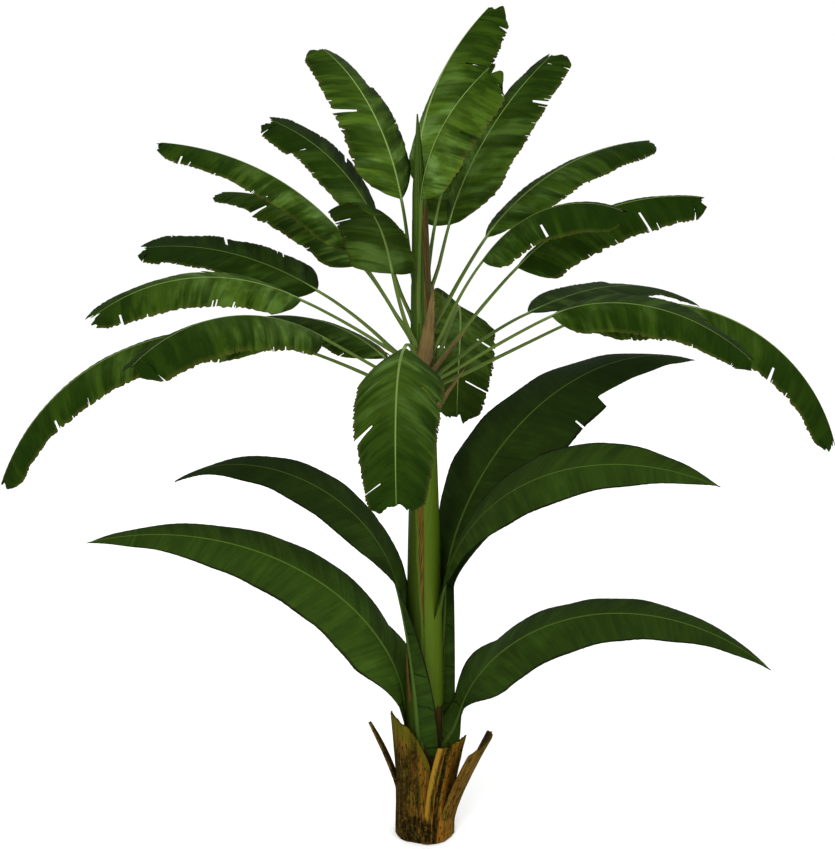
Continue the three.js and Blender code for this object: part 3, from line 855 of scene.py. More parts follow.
LOWER_LEAVES = (
    lower("lower_leaf_1", shade=0.05, heading=188, seat_heading=176, seat=450, rise=90,
          level=83.6, fall=-16, bend=0.76, veer=-16, stalk=270, blade=1940, width=422, roll=33,
          droop=18, swell=0.2, foot=0.6),
    lower("lower_leaf_2", shade=0.8, heading=205, seat_heading=250, rise=89, level=78, fall=-34,
          bend=1, veer=-54, stalk=880, blade=1455, width=385, roll=12, droop=6, swell=0.27,
          foot=0.54),
    lower("lower_leaf_3", shade=0.5, heading=352, seat_heading=330, rise=60, level=74.5, fall=-37,
          bend=0.8, veer=-8, stalk=280, blade=1750, width=440, roll=-20, swell=0.15, foot=0.38,
          turn=-82, droop=14),
    lower("lower_leaf_4", shade=0.1, heading=318, seat_heading=345, rise=94, level=89, fall=-19,
          bend=0.87, veer=22, stalk=705, blade=1860, width=412, roll=-30, droop=5, swell=0.45,
          foot=0.32),
    lower("lower_leaf_5", shade=0.85, heading=38, seat_heading=20, rise=90, level=86.5, fall=-18,
          bend=0.78, stalk=860, blade=2180, width=540, roll=-14, droop=16, swell=0.34, foot=0.25,
          turn=-80,
          tears=(Tear(0.5, FAR, 0.22), Tear(0.6, FAR, 0.3, heals=0.4))),
)
DRY_BRACTS = (
    dry("dry_bract_1", heading=296, seat_heading=276, seat=2385, rise=75, fall=77, blade=440,
        width=84, roll=24),
    dry("dry_bract_2", heading=318, seat=2350, rise=50, fall=46, blade=340, width=74),
    dry("dry_bract_3", heading=314, seat=2140, rise=54, fall=50, blade=360, width=64),
    dry("dry_bract_4", heading=352, seat=2500, rise=80, fall=78, blade=250, width=30),
    dry("dry_bract_5", heading=205, seat=2360, rise=40, fall=35, blade=230, width=46),
    dry("dry_bract_6", heading=98, seat=2330, rise=62, fall=50, blade=300, width=52),
)
DRY_STRIPS = (
    dry("dry_strip_1", heading=214, seat=620, rise=86, fall=88, blade=390, width=46),
    dry("dry_strip_2", heading=20, seat=700, rise=86, fall=88, blade=390, width=40),
)
SHEATHS = (
    Sheath("cut_sheath_2", heading=302, spread=72, top=540, flare=64,
           taper=0.78, slant=10, bend=200, lean=14, laps=True, gold=(Streak(1.0, -0.5, 0.12),),
           black=(Streak(0.95, -0.21, 0.09), Streak(0.8, -0.35, 0.035)),
           rust=(Streak(0.95, -0.08, 0.06), Streak(0.4, 0.15, 0.2))),
    Sheath("cut_sheath_1", heading=240, spread=100, top=650, flare=28,
           taper=0.95, slant=0, bend=260, lean=-8, curl=245, fresh=0.85, aged=0.4,
           gold=(Streak(0.75, 0.5, 0.07),), black=(Streak(0.8, 0.18, 0.07),),
           rust=(Streak(0.7, 0.33, 0.1),)),
    Sheath("cut_sheath_3", heading=335, spread=70, top=535, flare=190,
           taper=0.8, slant=50, bend=70, lean=6, curl=40, aged=0.4),
    Sheath("cut_sheath_4", heading=180, spread=40, top=585, flare=134,
           taper=0.12, slant=0, bend=240, lean=0),
    Sheath("cut_sheath_5", heading=45, spread=58, top=600, flare=60,
           taper=0.6, slant=50, bend=300, lean=8, fresh=0.5),
    Sheath("cut_sheath_6", heading=115, spread=62, top=500, flare=90,
           taper=0.5, slant=-40, bend=200, lean=-8),
)


# ---- Leaves ---------------------------------------------------------------------------------


@dataclass(frozen=True)
class Station:
    """The rib at one place: where it is, and the blade's side and upper directions there."""

    place: Vector
    side: Vector
    up: Vector

    def towards(self, other: "Station", share: float) -> "Station":
        """A station a share of the way to another."""
        return Station(self.place.lerp(other.place, share), self.side.lerp(other.side, share),
                       self.up.lerp(other.up, share))


class Rib:
    """The curve that a leaf's stalk and midrib follow, worked out step by step from the stem."""

    STEPS = 96

    def __init__(self, leaf: Leaf) -> None:
        """Follow the leaf's rib from its seat to its tip.

        Args:
            leaf: the leaf whose sizes it follows.
        """
        self.leaf = leaf
        level = leaf.rise if leaf.level is None else leaf.level
        out = along(STEM_PROFILE, leaf.seat) - (0 if leaf.kind is Kind.CROWN else SUNK)
        place = stem_centre(leaf.seat) + direction(leaf.foot_heading) * out
        self.stations: list[Station] = []
        before: Vector | None = None
        for i in range(self.STEPS + 1):
            s = leaf.length * i / self.STEPS
            on_stalk = clamp(s / leaf.stalk)
            u = clamp((s - leaf.stalk) / leaf.blade)
            pitch = lerp(leaf.rise, level, on_stalk) + (leaf.fall - level) * u ** leaf.bend
            pitch = math.radians(pitch)
            heading = leaf.heading + leaf.veer * s / leaf.length
            run = direction(heading) * math.cos(pitch) + Vector((0, 0, math.sin(pitch)))
            if before is not None:
                place = place + (before + run) * (leaf.length / self.STEPS / 2)
            before = run
            flat = direction(heading - 90)
            twist = math.radians(lerp(self._turn(), leaf.roll, on_stalk))
            side = flat * math.cos(twist) + flat.cross(run) * math.sin(twist)
            self.stations.append(Station(place, side, side.cross(run)))

    def _turn(self) -> float:
        """How far the foot of the stalk is tipped about its rib, in degrees.

        Returns:
            The angle.
        """
        leaf = self.leaf
        if leaf.turn is not None:
            return leaf.turn
        return leaf.heading - leaf.foot_heading if leaf.kind is Kind.LOWER else leaf.roll

    def at(self, s: float) -> Station:
        """Find the station at a distance along the rib.

        Args:
            s: millimetres from the seat.

        Returns:
            The station there.
        """
        x = clamp(s / self.leaf.length) * self.STEPS
        i = min(int(x), self.STEPS - 1)
        return self.stations[i].towards(self.stations[i + 1], x - i)


@dataclass(frozen=True)
class BladeDetail:
    """How finely a kind of blade is meshed, and how rough and wavy it is."""

    step: float  # rows along the blade, mm apart
    half_columns: int
    thick: float
    nicks: int  # small tears on each side
    ragged: float  # share of the half width that the edge wanders by
    pleat: float  # mm that the pleats between veins stand up
    wave: float  # mm that the edge rises and falls
    flap: float  # degrees that the parts between tears hang apart


DETAILS = {
    Kind.CROWN: BladeDetail(step=9, half_columns=9, thick=2.4, nicks=7, ragged=0.06, pleat=1.6,
                            wave=7.0, flap=5.0),
    Kind.LOWER: BladeDetail(step=15, half_columns=9, thick=2.6, nicks=0, ragged=0.008, pleat=1.1,
                            wave=6.0, flap=0.0),
    Kind.DRY: BladeDetail(step=8, half_columns=5, thick=2.0, nicks=3, ragged=0.16, pleat=1.2,
                          wave=3.0, flap=0.0),
}


class Blade:
    """A leaf's blade as a closed sheet: torn, pleated, and hung from its rib."""

    PLEAT_STEP = 42.0
    SLANT = 0.42  # how far veins and tears run towards the tip for each millimetre outward
    SLANT_RISE = 1.6  # how quickly the slant grows from either end of the blade
    NOTCH = 36.0  # how much further back the torn tip lies at the midrib
    TIP_WANDER, TIP_FRAY = 30, 22  # how far the torn tip wanders, and frays more finely
    TIP_BACK, TIP_ROUNDING = 14, 20  # how far back it lies everywhere, and more at the margins
    CHANNEL = -18.0  # how far the halves of a lower leaf's stalk fold up
    CHANNEL_LENGTH = 300  # how far past the stalk they take to open
    DEEP = 0.28  # depth of a tear past which the parts beside it hang apart
    LIP, SLOT = 0.7, 0.8  # shares of a tear's half width: its inner rows, and where it is cut

    def __init__(self, leaf: Leaf, rib: Rib, seed: int) -> None:
        """Plan the blade's rows and its tears.

        Args:
            leaf: the leaf's sizes.
            rib: the curve that it hangs from.
            seed: what its chance draws start from.
        """
        self.leaf, self.rib, self.seed = leaf, rib, seed
        self.detail = DETAILS[leaf.kind]
        self.chance = random.Random(seed)
        self.start = leaf.stalk if leaf.kind is Kind.CROWN else 0.0
        self.tears = list(leaf.tears) + self._nicks()
        self.hangs = {side: self._flap_hangs(side) for side in Side}
        self.rows = self._rows()

    def _nicks(self) -> list[Tear]:
        """Draw the small chance tears at the edge.

        Returns:
            The tears.
        """
        chance, found = self.chance, []
        for side in Side:
            for _ in range(self.detail.nicks):
                depth = chance.uniform(0.03, 0.13) * chance.choice((0.6, 1.0, 1.6))
                found.append(Tear(chance.uniform(0.12, 0.97), side, depth, chance.uniform(1.8, 4.0)))
        return found

    def _flap_hangs(self, side: Side) -> list[tuple[float, float]]:
        """Draw how far the flap between each two deep tears hangs.

        Args:
            side: the half of the blade.

        Returns:
            Each flap's start along the rib, and its extra hang in degrees.
        """
        cuts = sorted(self._middle(t) for t in self.tears
                      if t.side is side and t.depth > self.DEEP)
        flap = self.detail.flap
        return [(cut, self.chance.uniform(-flap, flap)) for cut in [0.0, *cuts]]

    def _rows(self) -> list[float]:
        """Place the rows of vertices along the rib.

        Returns:
            Millimetres from the seat, rising: even steps, and four for each tear.
        """
        leaf = self.leaf
        count = round((leaf.length - self.start) / self.detail.step)
        rows = [lerp(self.start, leaf.length, i / count) for i in range(count + 1)]
        for tear in self.tears:
            middle, half = self._middle(tear), tear.half
            if self.start + 2 * half < middle < leaf.length - 2 * half:
                rows = [s for s in rows if abs(s - middle) > half]
                lip = half * self.LIP
                rows += [middle - half, middle - lip, middle + lip, middle + half]
        return sorted(rows)

    def _middle(self, tear: Tear) -> float:
        """A tear's place along the rib."""
        return self.leaf.stalk + tear.share * self.leaf.blade

    def kept(self, s: float, side: Side) -> float:
        """Find how much of the half blade the tears leave.

        Args:
            s: millimetres from the seat.
            side: the half of the blade.

        Returns:
            The share of the half blade.
        """
        left = 1.0
        for tear in self.tears:
            past = s - self._middle(tear)
            if tear.side is side and abs(past) < tear.half * self.SLOT:
                left = min(left, 1 - tear.depth)
            elif tear.side is side and tear.heals and past > 0:
                left = min(left, 1 - tear.depth * clamp(1 - past / (tear.heals * self.leaf.blade)))
        return left

    def half_width(self, s: float) -> float:
        """Work out half the blade's width.

        Args:
            s: millimetres from the seat.

        Returns:
            The half width in millimetres, from the outline of its kind.
        """
        leaf = self.leaf
        u = max((s - leaf.stalk) / leaf.blade, 0.0)
        if leaf.kind is Kind.CROWN:
            foot = math.sin(clamp(u / leaf.shoulder) * math.pi / 2) ** 0.7
            taper = 1 - 0.42 * clamp((u - 0.35) / 0.65) ** 2
            share = max(foot * taper * (1 - 0.35 * clamp((u - 0.95) / 0.05) ** 2), 0.05)
        elif leaf.kind is Kind.LOWER:
            swelling = lerp(leaf.foot, 1, math.sin(clamp(u / leaf.swell) * math.pi / 2) ** 1.3)
            share = max(swelling * (1 - clamp((u - leaf.swell) / (1 - leaf.swell)) ** 1.9), 0.004)
        else:
            share = max((0.7 + 0.3 * clamp(u / 0.12)) * (1 - u ** 1.4), 0.06)
        return leaf.width / 2 * share

    def spot(self, start: Vector) -> Spot:
        """Where a vertex of the flat slab goes.

        Args:
            start: its point on the slab.

        Returns:
            Its spot on the blade.
        """
        leaf, detail = self.leaf, self.detail
        row = round((start.y + 1) / 2 * (len(self.rows) - 1))
        s = self.rows[row]
        side = Side.FAR if start.x > 0 else Side.NEAR
        kept = self.kept(s, side)
        share = abs(start.x) * kept
        u = clamp((s - leaf.stalk) / leaf.blade)
        slant = self.slant(s)
        half = self.half_width(s + slant * kept * self.half_width(s))
        half *= 1 + detail.ragged * grain(s * 0.07, side.value * 5, self.seed)
        s_here = min(s + slant * share * half + self._tip_jag(share * side.value, u), leaf.length)
        station = self.rib.at(s_here)
        hang = self._hang(s, side, share)
        lean, turn = math.radians(hang * 0.4), math.radians(hang * 1.2)
        if abs(turn) < 1e-3:
            out, drop = share * math.cos(lean), share * math.sin(lean)
        else:
            out = (math.sin(lean + turn * share) - math.sin(lean)) / turn
            drop = (math.cos(lean) - math.cos(lean + turn * share)) / turn
        lift = self._lift(s, share, side, u) - (detail.thick if start.z < -0.5 else 0.0)
        at = station.place + station.side * (side.value * out * half)
        at = at + station.up * (lift - drop * half)
        under = -start.z * (smooth(u, 0.0, 0.2) if leaf.kind is Kind.LOWER else 1.0)
        marks = {"edge": share, "under": under, **leaf.marks(u, self.seed)}
        return Spot(at, ((s_here - leaf.stalk) * MM, side.value * share * half * MM), marks)

    def slant(self, s: float) -> float:
        """Work out how far a row slants.

        Args:
            s: millimetres from the seat.

        Returns:
            Millimetres towards the tip for each millimetre outward.
        """
        if self.leaf.kind is not Kind.CROWN:
            return 0.0
        angle = math.pi * (s - self.start) / (self.leaf.length - self.start)
        return self.SLANT * clamp(self.SLANT_RISE * math.sin(angle))

    def _tip_jag(self, across: float, u: float) -> float:
        """Work out how far a row is shifted, so that the torn tip isn't straight.

        Args:
            across: share of the half blade, with the sign of its side.
            u: share of the blade's length.

        Returns:
            Millimetres along the rib.
        """
        if self.leaf.kind is not Kind.CROWN:
            return 0.0
        jag = self.TIP_WANDER * grain(across * 3.4, 0.0, self.seed + 0.5) - self.TIP_BACK
        jag += self.TIP_FRAY * grain(across * 9, 0.0, self.seed)
        jag -= self.NOTCH * (1 - smooth(abs(across + 0.05), 0.1, 0.78))
        return jag * smooth(u, 0.86, 1.0) - self.TIP_ROUNDING * across ** 4 * smooth(u, 0.8, 1.0)

    def _hang(self, s: float, side: Side, share: float) -> float:
        """Work out how far the half blade hangs down.

        Args:
            s: millimetres from the seat.
            side: the half of the blade.
            share: share of the half blade.

        Returns:
            The angle in degrees.
        """
        leaf = self.leaf
        channel = 0.0
        if leaf.kind is Kind.LOWER:
            channel = clamp(1 - (s - leaf.stalk) / self.CHANNEL_LENGTH)
        hang = lerp(leaf.droop, self.CHANNEL, channel)
        extra = 0.0
        for cut, more in self.hangs[side]:
            if s >= cut:
                extra = more
        return hang + extra * smooth(share, 0.1, 0.9)

    def _lift(self, s: float, share: float, side: Side, u: float) -> float:
        """Work out how far pleats and waves raise the surface.

        Args:
            s: millimetres from the seat.
            share: share of the half blade.
            side: the half of the blade.
            u: share of the blade's length.

        Returns:
            The height in millimetres.
        """
        detail = self.detail
        wander = grain(s * 0.012, side.value * 3.0, self.seed + 9)
        pleat = math.sin(2 * math.pi * s / self.PLEAT_STEP + 2.5 * wander) * detail.pleat
        pleat *= smooth(share, 0.04, 0.35) * (0.5 + 0.5 * wander)
        roll = grain(s * 0.0055, side.value * 7.0, self.seed + 3) * detail.wave * share ** 1.5 * 2
        settle = smooth(u, 0.0, 0.08) if self.leaf.kind is not Kind.DRY else 1.0
        return (pleat + roll) * settle

    def form(self) -> Form:
        """Build the blade's mesh."""
        return Form().slab(2 * self.detail.half_columns, len(self.rows) - 1).bend(self.spot)


class Stalk:
    """A leaf's stalk and the midrib that runs on through its blade, as one grooved tapering rod."""

    SIDES = 12
    RING_STEP = 24.0
    REACH = 0.995  # share of the leaf's length that the rod reaches
    FOOT, HEAD, TIP = 13.5, 8.0, 1.5  # a crown leaf's radii
    LOWER_FOOT, LOWER_TIP = 15.0, 2.0  # a lower leaf's radii
    FLARE, FLARE_REACH = 7, 70  # how much wider the foot is, and how far up it narrows
    SINK, SINK_REACH = 24.0, 170  # how far the foot goes into the stem, and up to where

    def __init__(self, leaf: Leaf, rib: Rib, seed: int) -> None:
        """Keep the leaf and its rib."""
        self.leaf, self.rib, self.seed = leaf, rib, seed

    def radius(self, s: float) -> float:
        """Work out the rod's radius.

        Args:
            s: millimetres from the seat.

        Returns:
            The radius in millimetres.
        """
        leaf = self.leaf
        u = clamp((s - leaf.stalk) / leaf.blade)
        if leaf.kind is Kind.LOWER:
            return lerp(self.LOWER_FOOT, self.LOWER_TIP, clamp(s / leaf.length) ** 0.6)
        if s >= leaf.stalk:
            return lerp(self.HEAD, self.TIP, u ** 0.8)
        flare = self.FLARE * clamp(1 - s / self.FLARE_REACH) ** 2
        return lerp(self.FOOT, self.HEAD, (s / leaf.stalk) ** 0.7) + flare

    def spot(self, start: Vector) -> Spot:
        """Where a vertex of the plain tube goes.

        Args:
            start: its point on the tube.

        Returns:
            Its spot on the rod.
        """
        leaf = self.leaf
        s = start.z * (leaf.length * self.REACH - (Blade.NOTCH if leaf.kind is Kind.CROWN else 0.0))
        station = self.rib.at(s)
        radius = self.radius(s)
        on_blade = smooth(s, leaf.stalk * 0.85, leaf.stalk + 60)
        across, raised = start.x * radius, start.y * radius * 0.85
        groove = math.exp(-(start.x / 0.45) ** 2) * radius * 0.5 * (1 - on_blade)
        if start.y > 0 and leaf.kind is Kind.CROWN:
            raised -= groove * start.y
        height = raised - radius * lerp(0.3, 0.62, on_blade)
        at = station.place + station.side * across + station.up * height
        at -= direction(leaf.foot_heading) * self.SINK * clamp(1 - s / self.SINK_REACH) ** 1.5
        marks = {"upper": smooth(start.y, -0.4, 0.7) * lerp(0.45, 1.0, on_blade),
                 **leaf.marks(clamp((s - leaf.stalk) / leaf.blade), self.seed)}
        return Spot(at, (s * MM, math.atan2(start.x, start.y) * radius * MM), marks)

    def form(self) -> Form:
        """Build the rod's mesh."""
        rings = round(self.leaf.length / self.RING_STEP)
        return Form().tube(self.SIDES, rings).bend(self.spot)


@dataclass
class Foliage:
    """A tier of leaves that share a kind and their finishes."""

    title: str
    leaves: tuple[Leaf, ...]
    blade_finish: bpy.types.Material
    rib_finish: bpy.types.Material | None
    slot: str
    seed: int

    def build(self) -> None:
        """Build every leaf of the tier."""
        for number, leaf in enumerate(self.leaves):
            seed = self.seed + number
            rib = Rib(leaf)
            nodes = [n for n in (leaf.name, f"{leaf.name}_inner", f"{leaf.name}_outer")
                     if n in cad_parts]
            blade = Blade(leaf, rib, seed).form()
            blade.piece(f"{leaf.name}_blade", self.blade_finish, self.slot, nodes)
            if self.rib_finish is not None:
                stalk = Stalk(leaf, rib, seed).form()
                stalk.piece(f"{leaf.name}_rib", self.rib_finish, self.slot)
        log.info("%s: %d leaves", self.title, len(self.leaves))


# ---- Stem, rolled leaf and stump ------------------------------------------------------------


@dataclass
class Trunk:
    """The tall stem of wrapped sheaths and the rolled young leaf on it."""

    finish: bpy.types.Material
    roll_finish: bpy.types.Material
    margins: tuple[float, ...] = (266.0, 20.0, 138.0)  # headings where a sheath's edge lies
    front: float = 306.0  # heading of the front sheath's middle
    bright: float = 318.0  # heading where the stem is brightest
    roll_edges: tuple[float, float, float] = (276.0, 186.0, 30.0)  # the rolled leaf's, which wind
    front_foot: float = 695.0  # where the bright front sheath was cut
    streak: float = 21.0  # degrees that the dry streak beside it spans at its widest
    step: float = 5.0  # how far a sheath's edge stands up
    sides: int = 120
    rings: int = 150

    def radius(self, z: float, heading: float, margins: Sequence[float]) -> tuple[float, float]:
        """The wrapped surface at a height and heading.

        Args:
            z: height in millimetres.
            heading: in degrees.
            margins: headings of the sheath edges there.

        Returns:
            The radius, and how many degrees past the nearest edge the place lies.
        """
        past = min((heading - m) % 360 for m in margins)
        girth = along(STEM_PROFILE, z)
        span = 360 / len(margins)
        lap = self.step * clamp(1 - past / span) ** 0.8 - self.step * 0.5
        return girth * 1.01 + lap * clamp(girth / 60) + 0.8 * grain(heading * 0.09, z * 0.002, 2), past

    def stem_spot(self, start: Vector) -> Spot:
        """Where a vertex of the plain tube goes on the stem.

        Args:
            start: its point on the tube.

        Returns:
            Its spot on the stem.
        """
        z = lerp(STUMP_HEIGHT, STEM_TOP, start.z)
        heading = math.degrees(math.atan2(start.y, start.x)) % 360
        drift = 4 * math.sin(z * 0.0016)
        margins = [m + drift for m in self.margins]
        radius, past = self.radius(z, heading, margins)
        ragged = 12 * grain(heading * 0.1, 0.0, 3)
        cut = 1 - smooth(z + ragged, self.front_foot - 6, self.front_foot + 6)
        on_front = 1 - smooth(abs(turn_between(heading, self.front + drift)), 38, 44)
        radius -= 4 * cut * on_front
        at = stem_centre(z) + direction(heading) * radius * math.hypot(start.x, start.y)
        light = (1 - smooth(abs(turn_between(heading, self.bright + drift)), 52, 64)) * (1 - cut)
        before = turn_between(self.margins[0] + drift, heading)
        strip = self.streak * smooth(z, 930, 1650) * (1 + 0.3 * grain(z * 0.01, 0.0, 4))
        husk = 1 - smooth(abs(before - strip / 2) - strip / 2, -1.5, 1.5)
        line = (1 - smooth(abs(before - strip - 4), 3, 6)) * 0.8
        scar = 0.25 * smooth(grain(z * 0.004, heading * 0.02, 6), 0.1, 0.4)
        scar = scar * (1 - smooth(past, 4, 12))
        dry = max(husk * smooth(strip, 1, 4), cut * on_front * 0.9, scar)
        marks = {"light": clamp(0.12 + 0.88 * light), "dry": clamp(dry), "lap": clamp(line)}
        return Spot(at, (z * MM, math.radians(heading) * radius * MM), marks)

    @staticmethod
    def _within(z: float, low: float, high: float) -> float:
        """1 between two heights, fading to 0 outside them."""
        return smooth(z, low - 60, low + 60) * (1 - smooth(z, high - 60, high + 60))

    def roll_spot(self, start: Vector) -> Spot:
        """Where a vertex of the plain tube goes on the rolled leaf.

        Args:
            start: its point on the tube.

        Returns:
            Its spot on the rolled leaf.
        """
        z = lerp(STEM_TOP - 4, ROLL_TOP, start.z)
        heading = math.degrees(math.atan2(start.y, start.x))
        turn = (z - STEM_TOP) * 0.02
        first, second, third = self.roll_edges
        edge = first + turn
        radius, past = self.radius(z, heading, [edge, second + turn, third - turn])
        reach = math.hypot(start.x, start.y)
        at = stem_centre(z) + direction(heading) * max(radius, 1.5) * reach
        dark_edge = (1 - smooth(past, 4, 10)) * (0.5 + 0.6 * grain(z * 0.005, 2.0, 8))
        after = turn_between(heading, edge)
        husk = 1 - smooth(abs(after - 27) + 12 * grain(z * 0.008, heading * 0.03, 4), 15, 24)
        husk *= self._within(z, 2500, 3150)
        ridge = smooth(grain(heading * 0.11, z * 0.0005, 12), 0.1, 0.35)
        marks = {"light": 0.2 + 0.4 * ridge, "dry": clamp(max(dark_edge, husk)), "lap": 0.5 * ridge}
        return Spot(at, (z * MM, math.radians(heading) * radius * MM), marks)

    def build(self) -> None:
        """Build the stem and the rolled leaf."""
        Form().tube(self.sides, self.rings).bend(self.stem_spot).piece(
            "wrapped_stem", self.finish, "stem", ["stem"])
        Form().tube(self.sides // 2, self.rings // 2).bend(self.roll_spot).piece(
            "rolled_young_leaf", self.roll_finish, "roll", ["rolled_leaf"])


@dataclass
class Stump:
    """The foot of the plant: a scarred core and the cut sheaths round it."""

    sheaths: tuple[Sheath, ...]
    finish: bpy.types.Material
    thick: float = 13.0
    foot: float = 4.0  # height at which a sheath starts
    hugs: float = 150.0  # height up to which a sheath follows the core
    sunk: float = 2.0  # how far a sheath's inner side lies in the core
    lap: float = 8.0  # how far out a lapping sheath lies

    def core_radius(self, z: float, heading: float) -> float:
        """Work out the core's radius.

        Args:
            z: height in millimetres.
            heading: in degrees.

        Returns:
            The radius in millimetres.
        """
        angle = math.radians(heading)
        ribs = 1 + 0.025 * math.cos(5 * angle) + 0.015 * math.cos(9 * angle + 2)
        return lerp(STUMP_RADIUS, STUMP_SHOULDER, clamp(z / STUMP_HEIGHT) ** 3) * ribs

    def core_spot(self, start: Vector) -> Spot:
        """Where a vertex of the plain tube goes on the core.

        Args:
            start: its point on the tube.

        Returns:
            Its spot on the core.
        """
        z = STUMP_HEIGHT * start.z
        heading = math.degrees(math.atan2(start.y, start.x))
        rough = 2.2 * grain(heading * 0.16, z * 0.012, 5) + 1.4 * grain(heading * 0.7, z * 0.02, 6)
        radius = (self.core_radius(z, heading) + rough) * math.hypot(start.x, start.y)
        marks = {"green": 0.0, "gold": 0.0, "rust": 0.0, "dark": max(0.55, self._darkening(heading, z))}
        return Spot(direction(heading) * radius + Vector((0, 0, z)),
                    (z * MM, math.radians(heading) * radius * MM), marks)

    def sheath_spot(self, sheath: Sheath, start: Vector) -> Spot:
        """Where a vertex of the plain slab goes on a cut sheath.

        Args:
            sheath: the sheath's sizes.
            start: its point on the slab.

        Returns:
            Its spot on the sheath.
        """
        across, rise = start.x / 2, (start.y + 1) / 2
        inside = start.z < -0.5
        seed = sheath.heading * 0.1
        jag = 7 * grain(across * 14, 0.0, seed) * smooth(rise, 0.85, 1.0)
        head = sheath.top + sheath.slant * across - sheath.curl * (across + 0.5) ** 3.5
        z = lerp(self.foot, head, rise) + jag
        free = clamp((z - sheath.bend) / (sheath.top - sheath.bend), 0, 1.1)
        narrowed = lerp(1, sheath.taper, free ** 1.3)
        heading = sheath.heading + sheath.lean * rise + sheath.spread * across * narrowed
        out = self.core_radius(min(z, self.hugs), heading) - self.sunk + sheath.flare * free ** 1.25
        rough = 1.8 * grain(heading * 0.5, z * 0.006, seed)
        rough += 1.2 * grain(heading * 1.6, z * 0.02, seed + 2)
        rounding = 6.0 * smooth(abs(across), 0.38, 0.5)
        radius = out if inside else out + (self.thick - rounding) + rough
        radius += self.lap if sheath.laps else 0.0
        wander = across + 0.012 * grain(z * 0.012, seed, 4)
        green = sheath.fresh * smooth(rise + 0.05 * grain(across * 9, 0.0, 3), 0.8, 0.93)
        gold, black, rust = (max(streak.at(wander) for streak in streaks)
                             for streaks in (sheath.gold, sheath.black, sheath.rust))
        marks = {"green": green, "gold": gold, "rust": rust,
                 "dark": 0.8 if inside else max(black, sheath.aged, self._darkening(heading, z))}
        return Spot(direction(heading) * radius + Vector((0, 0, z)),
                    (z * MM, math.radians(heading) * STUMP_RADIUS * MM), marks)

    @staticmethod
    def _darkening(heading: float, z: float) -> float:
        """Work out how dark the stump is.

        Args:
            heading: in degrees.
            z: height in millimetres.

        Returns:
            From 0 to 1: a round scar low in front, its left side less a bare patch, its foot.
        """
        ragged = 9 * grain(heading * 0.12, z * 0.02, 7)
        scar = 1 - smooth(math.hypot(turn_between(heading, 253) * 1.6, (z - 70) * 0.7) + ragged, 46, 66)
        left = 0.85 * (1 - smooth(abs(turn_between(heading, 212)) + ragged, 30, 56))
        left = left * (1 - smooth(z, 420, 640))
        foot = 0.75 * (1 - smooth(z + ragged * 3, 20, 130)) * (1 - smooth(heading, 262, 292))
        bare = math.hypot(turn_between(heading, 247) * 2.2, (z - 205) * 0.5)
        patch = 1 - smooth(bare + ragged, 22, 38)
        return clamp(max(scar, left * (1 - patch), foot * (1 - scar) * 0.8))

    def build(self) -> None:
        """Build the core and its sheaths."""
        Form().tube(96, 40).bend(self.core_spot).piece("stump_core", self.finish, "stump", ["stump"])
        for sheath in self.sheaths:
            form = Form().slab(30, 44).bend(partial(self.sheath_spot, sheath))
            form.piece(f"{sheath.name}_husk", self.finish, "stump", [sheath.name])
        log.info("stump: core and %d sheaths", len(self.sheaths))


# ---- The studio -----------------------------------------------------------------------------


PLANT_MIDDLE = Vector((0, 0, 2.0))


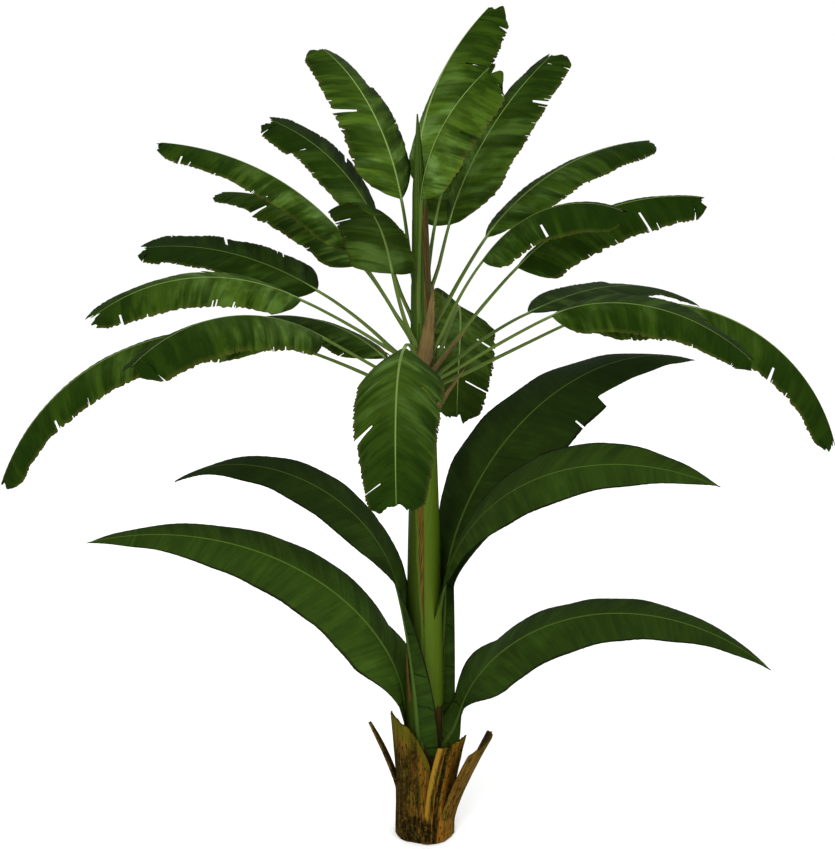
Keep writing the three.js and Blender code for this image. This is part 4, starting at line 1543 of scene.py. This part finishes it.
@dataclass
class Studio:
    """A pale floor, soft lights and the camera."""

    camera_place: tuple[float, float, float] = (-0.035, -8.2, 4.15)
    camera_down: float = 14.0  # degrees that it looks down
    lens: float = 76.83
    sensor: float = 36.0
    floor_size: float = 60.0
    floor_gap: float = 0.001  # how far the floor lies under the stump's cut

    def build(self) -> None:
        """Set up the floor, the lights, the surroundings and the camera."""
        self._floor()
        self._lamp("key_light", (-3.0, -9.0, 7.0), 5.0, 700.0)
        self._lamp("fill_light", (5.5, -6.5, 4.5), 4.0, 260.0)
        self._lamp("back_light", (3.0, 7.0, 8.0), 6.0, 200.0)
        world = bpy.data.worlds.new("studio_air")
        world.use_nodes = True
        air = world.node_tree.nodes["Background"].inputs
        air["Color"].default_value, air["Strength"].default_value = (1.0, 1.0, 1.0, 1.0), 1.0
        bpy.context.scene.world = world
        bpy.context.scene.view_settings.view_transform = "Standard"
        self._camera()
        log.info("studio: floor, lights and camera")

    def _floor(self) -> None:
        """Lay the pale floor."""
        mesh = bmesh.new()
        bmesh.ops.create_grid(mesh, x_segments=1, y_segments=1, size=self.floor_size / 2)
        data = bpy.data.meshes.new("studio_floor")
        mesh.to_mesh(data)
        mesh.free()
        shader = Shader("floor_finish")
        shade = shader.node("ShaderNodeBsdfPrincipled", {}, {
            "Base Color": (1.0, 1.0, 1.0), "Roughness": 1.0, "Specular IOR Level": 0.0})
        shader.node("ShaderNodeOutputMaterial", {}, {0: shade.outputs[0]})
        data.materials.append(shader.material)
        floor = show("studio_floor", data)
        floor.location = (0, 0, -self.floor_gap)

    @staticmethod
    def _lamp(name: str, place: tuple[float, float, float], size: float, watts: float) -> None:
        """Hang a square lamp that faces the plant's middle.

        Args:
            name: its plain name.
            place: where it hangs, in metres.
            size: its side, in metres.
            watts: its power.
        """
        data = bpy.data.lights.new(name, "AREA")
        data.shape, data.size, data.energy = "SQUARE", size, watts
        lamp = show(name, data)
        lamp.location = place
        aim = PLANT_MIDDLE - Vector(place)
        lamp.rotation_euler = aim.to_track_quat("-Z", "Y").to_euler()

    def _camera(self) -> None:
        """Place the camera."""
        data = bpy.data.cameras.new("camera")
        data.sensor_fit, data.sensor_width, data.lens = "HORIZONTAL", self.sensor, self.lens
        camera = show("camera", data)
        camera.location = self.camera_place
        camera.rotation_euler = (math.radians(90 - self.camera_down), 0, 0)
        bpy.context.scene.camera = camera


def main() -> None:
    """Build the plant and its studio."""
    logging.basicConfig(level=logging.INFO, format="%(name)s %(message)s")
    Studio().build()
    finishes = Finishes()
    Stump(SHEATHS, finishes.husk).build()
    Trunk(finishes.stem, finishes.roll).build()
    Foliage("lower leaves", LOWER_LEAVES, finishes.lower, finishes.lower_rib, "lower", 50).build()
    Foliage("high tier", HIGH_TIER, finishes.crown, finishes.crown_rib, "crown", 10).build()
    Foliage("middle tier", MIDDLE_TIER, finishes.crown, finishes.crown_rib, "crown", 20).build()
    Foliage("low tier", LOW_TIER, finishes.crown, finishes.crown_rib, "crown", 30).build()
    Foliage("dry bracts", DRY_BRACTS, finishes.paper, None, "dry", 70).build()
    Foliage("dry strips", DRY_STRIPS, finishes.strip, None, "dry", 80).build()


if __name__ == "__main__":
    main()
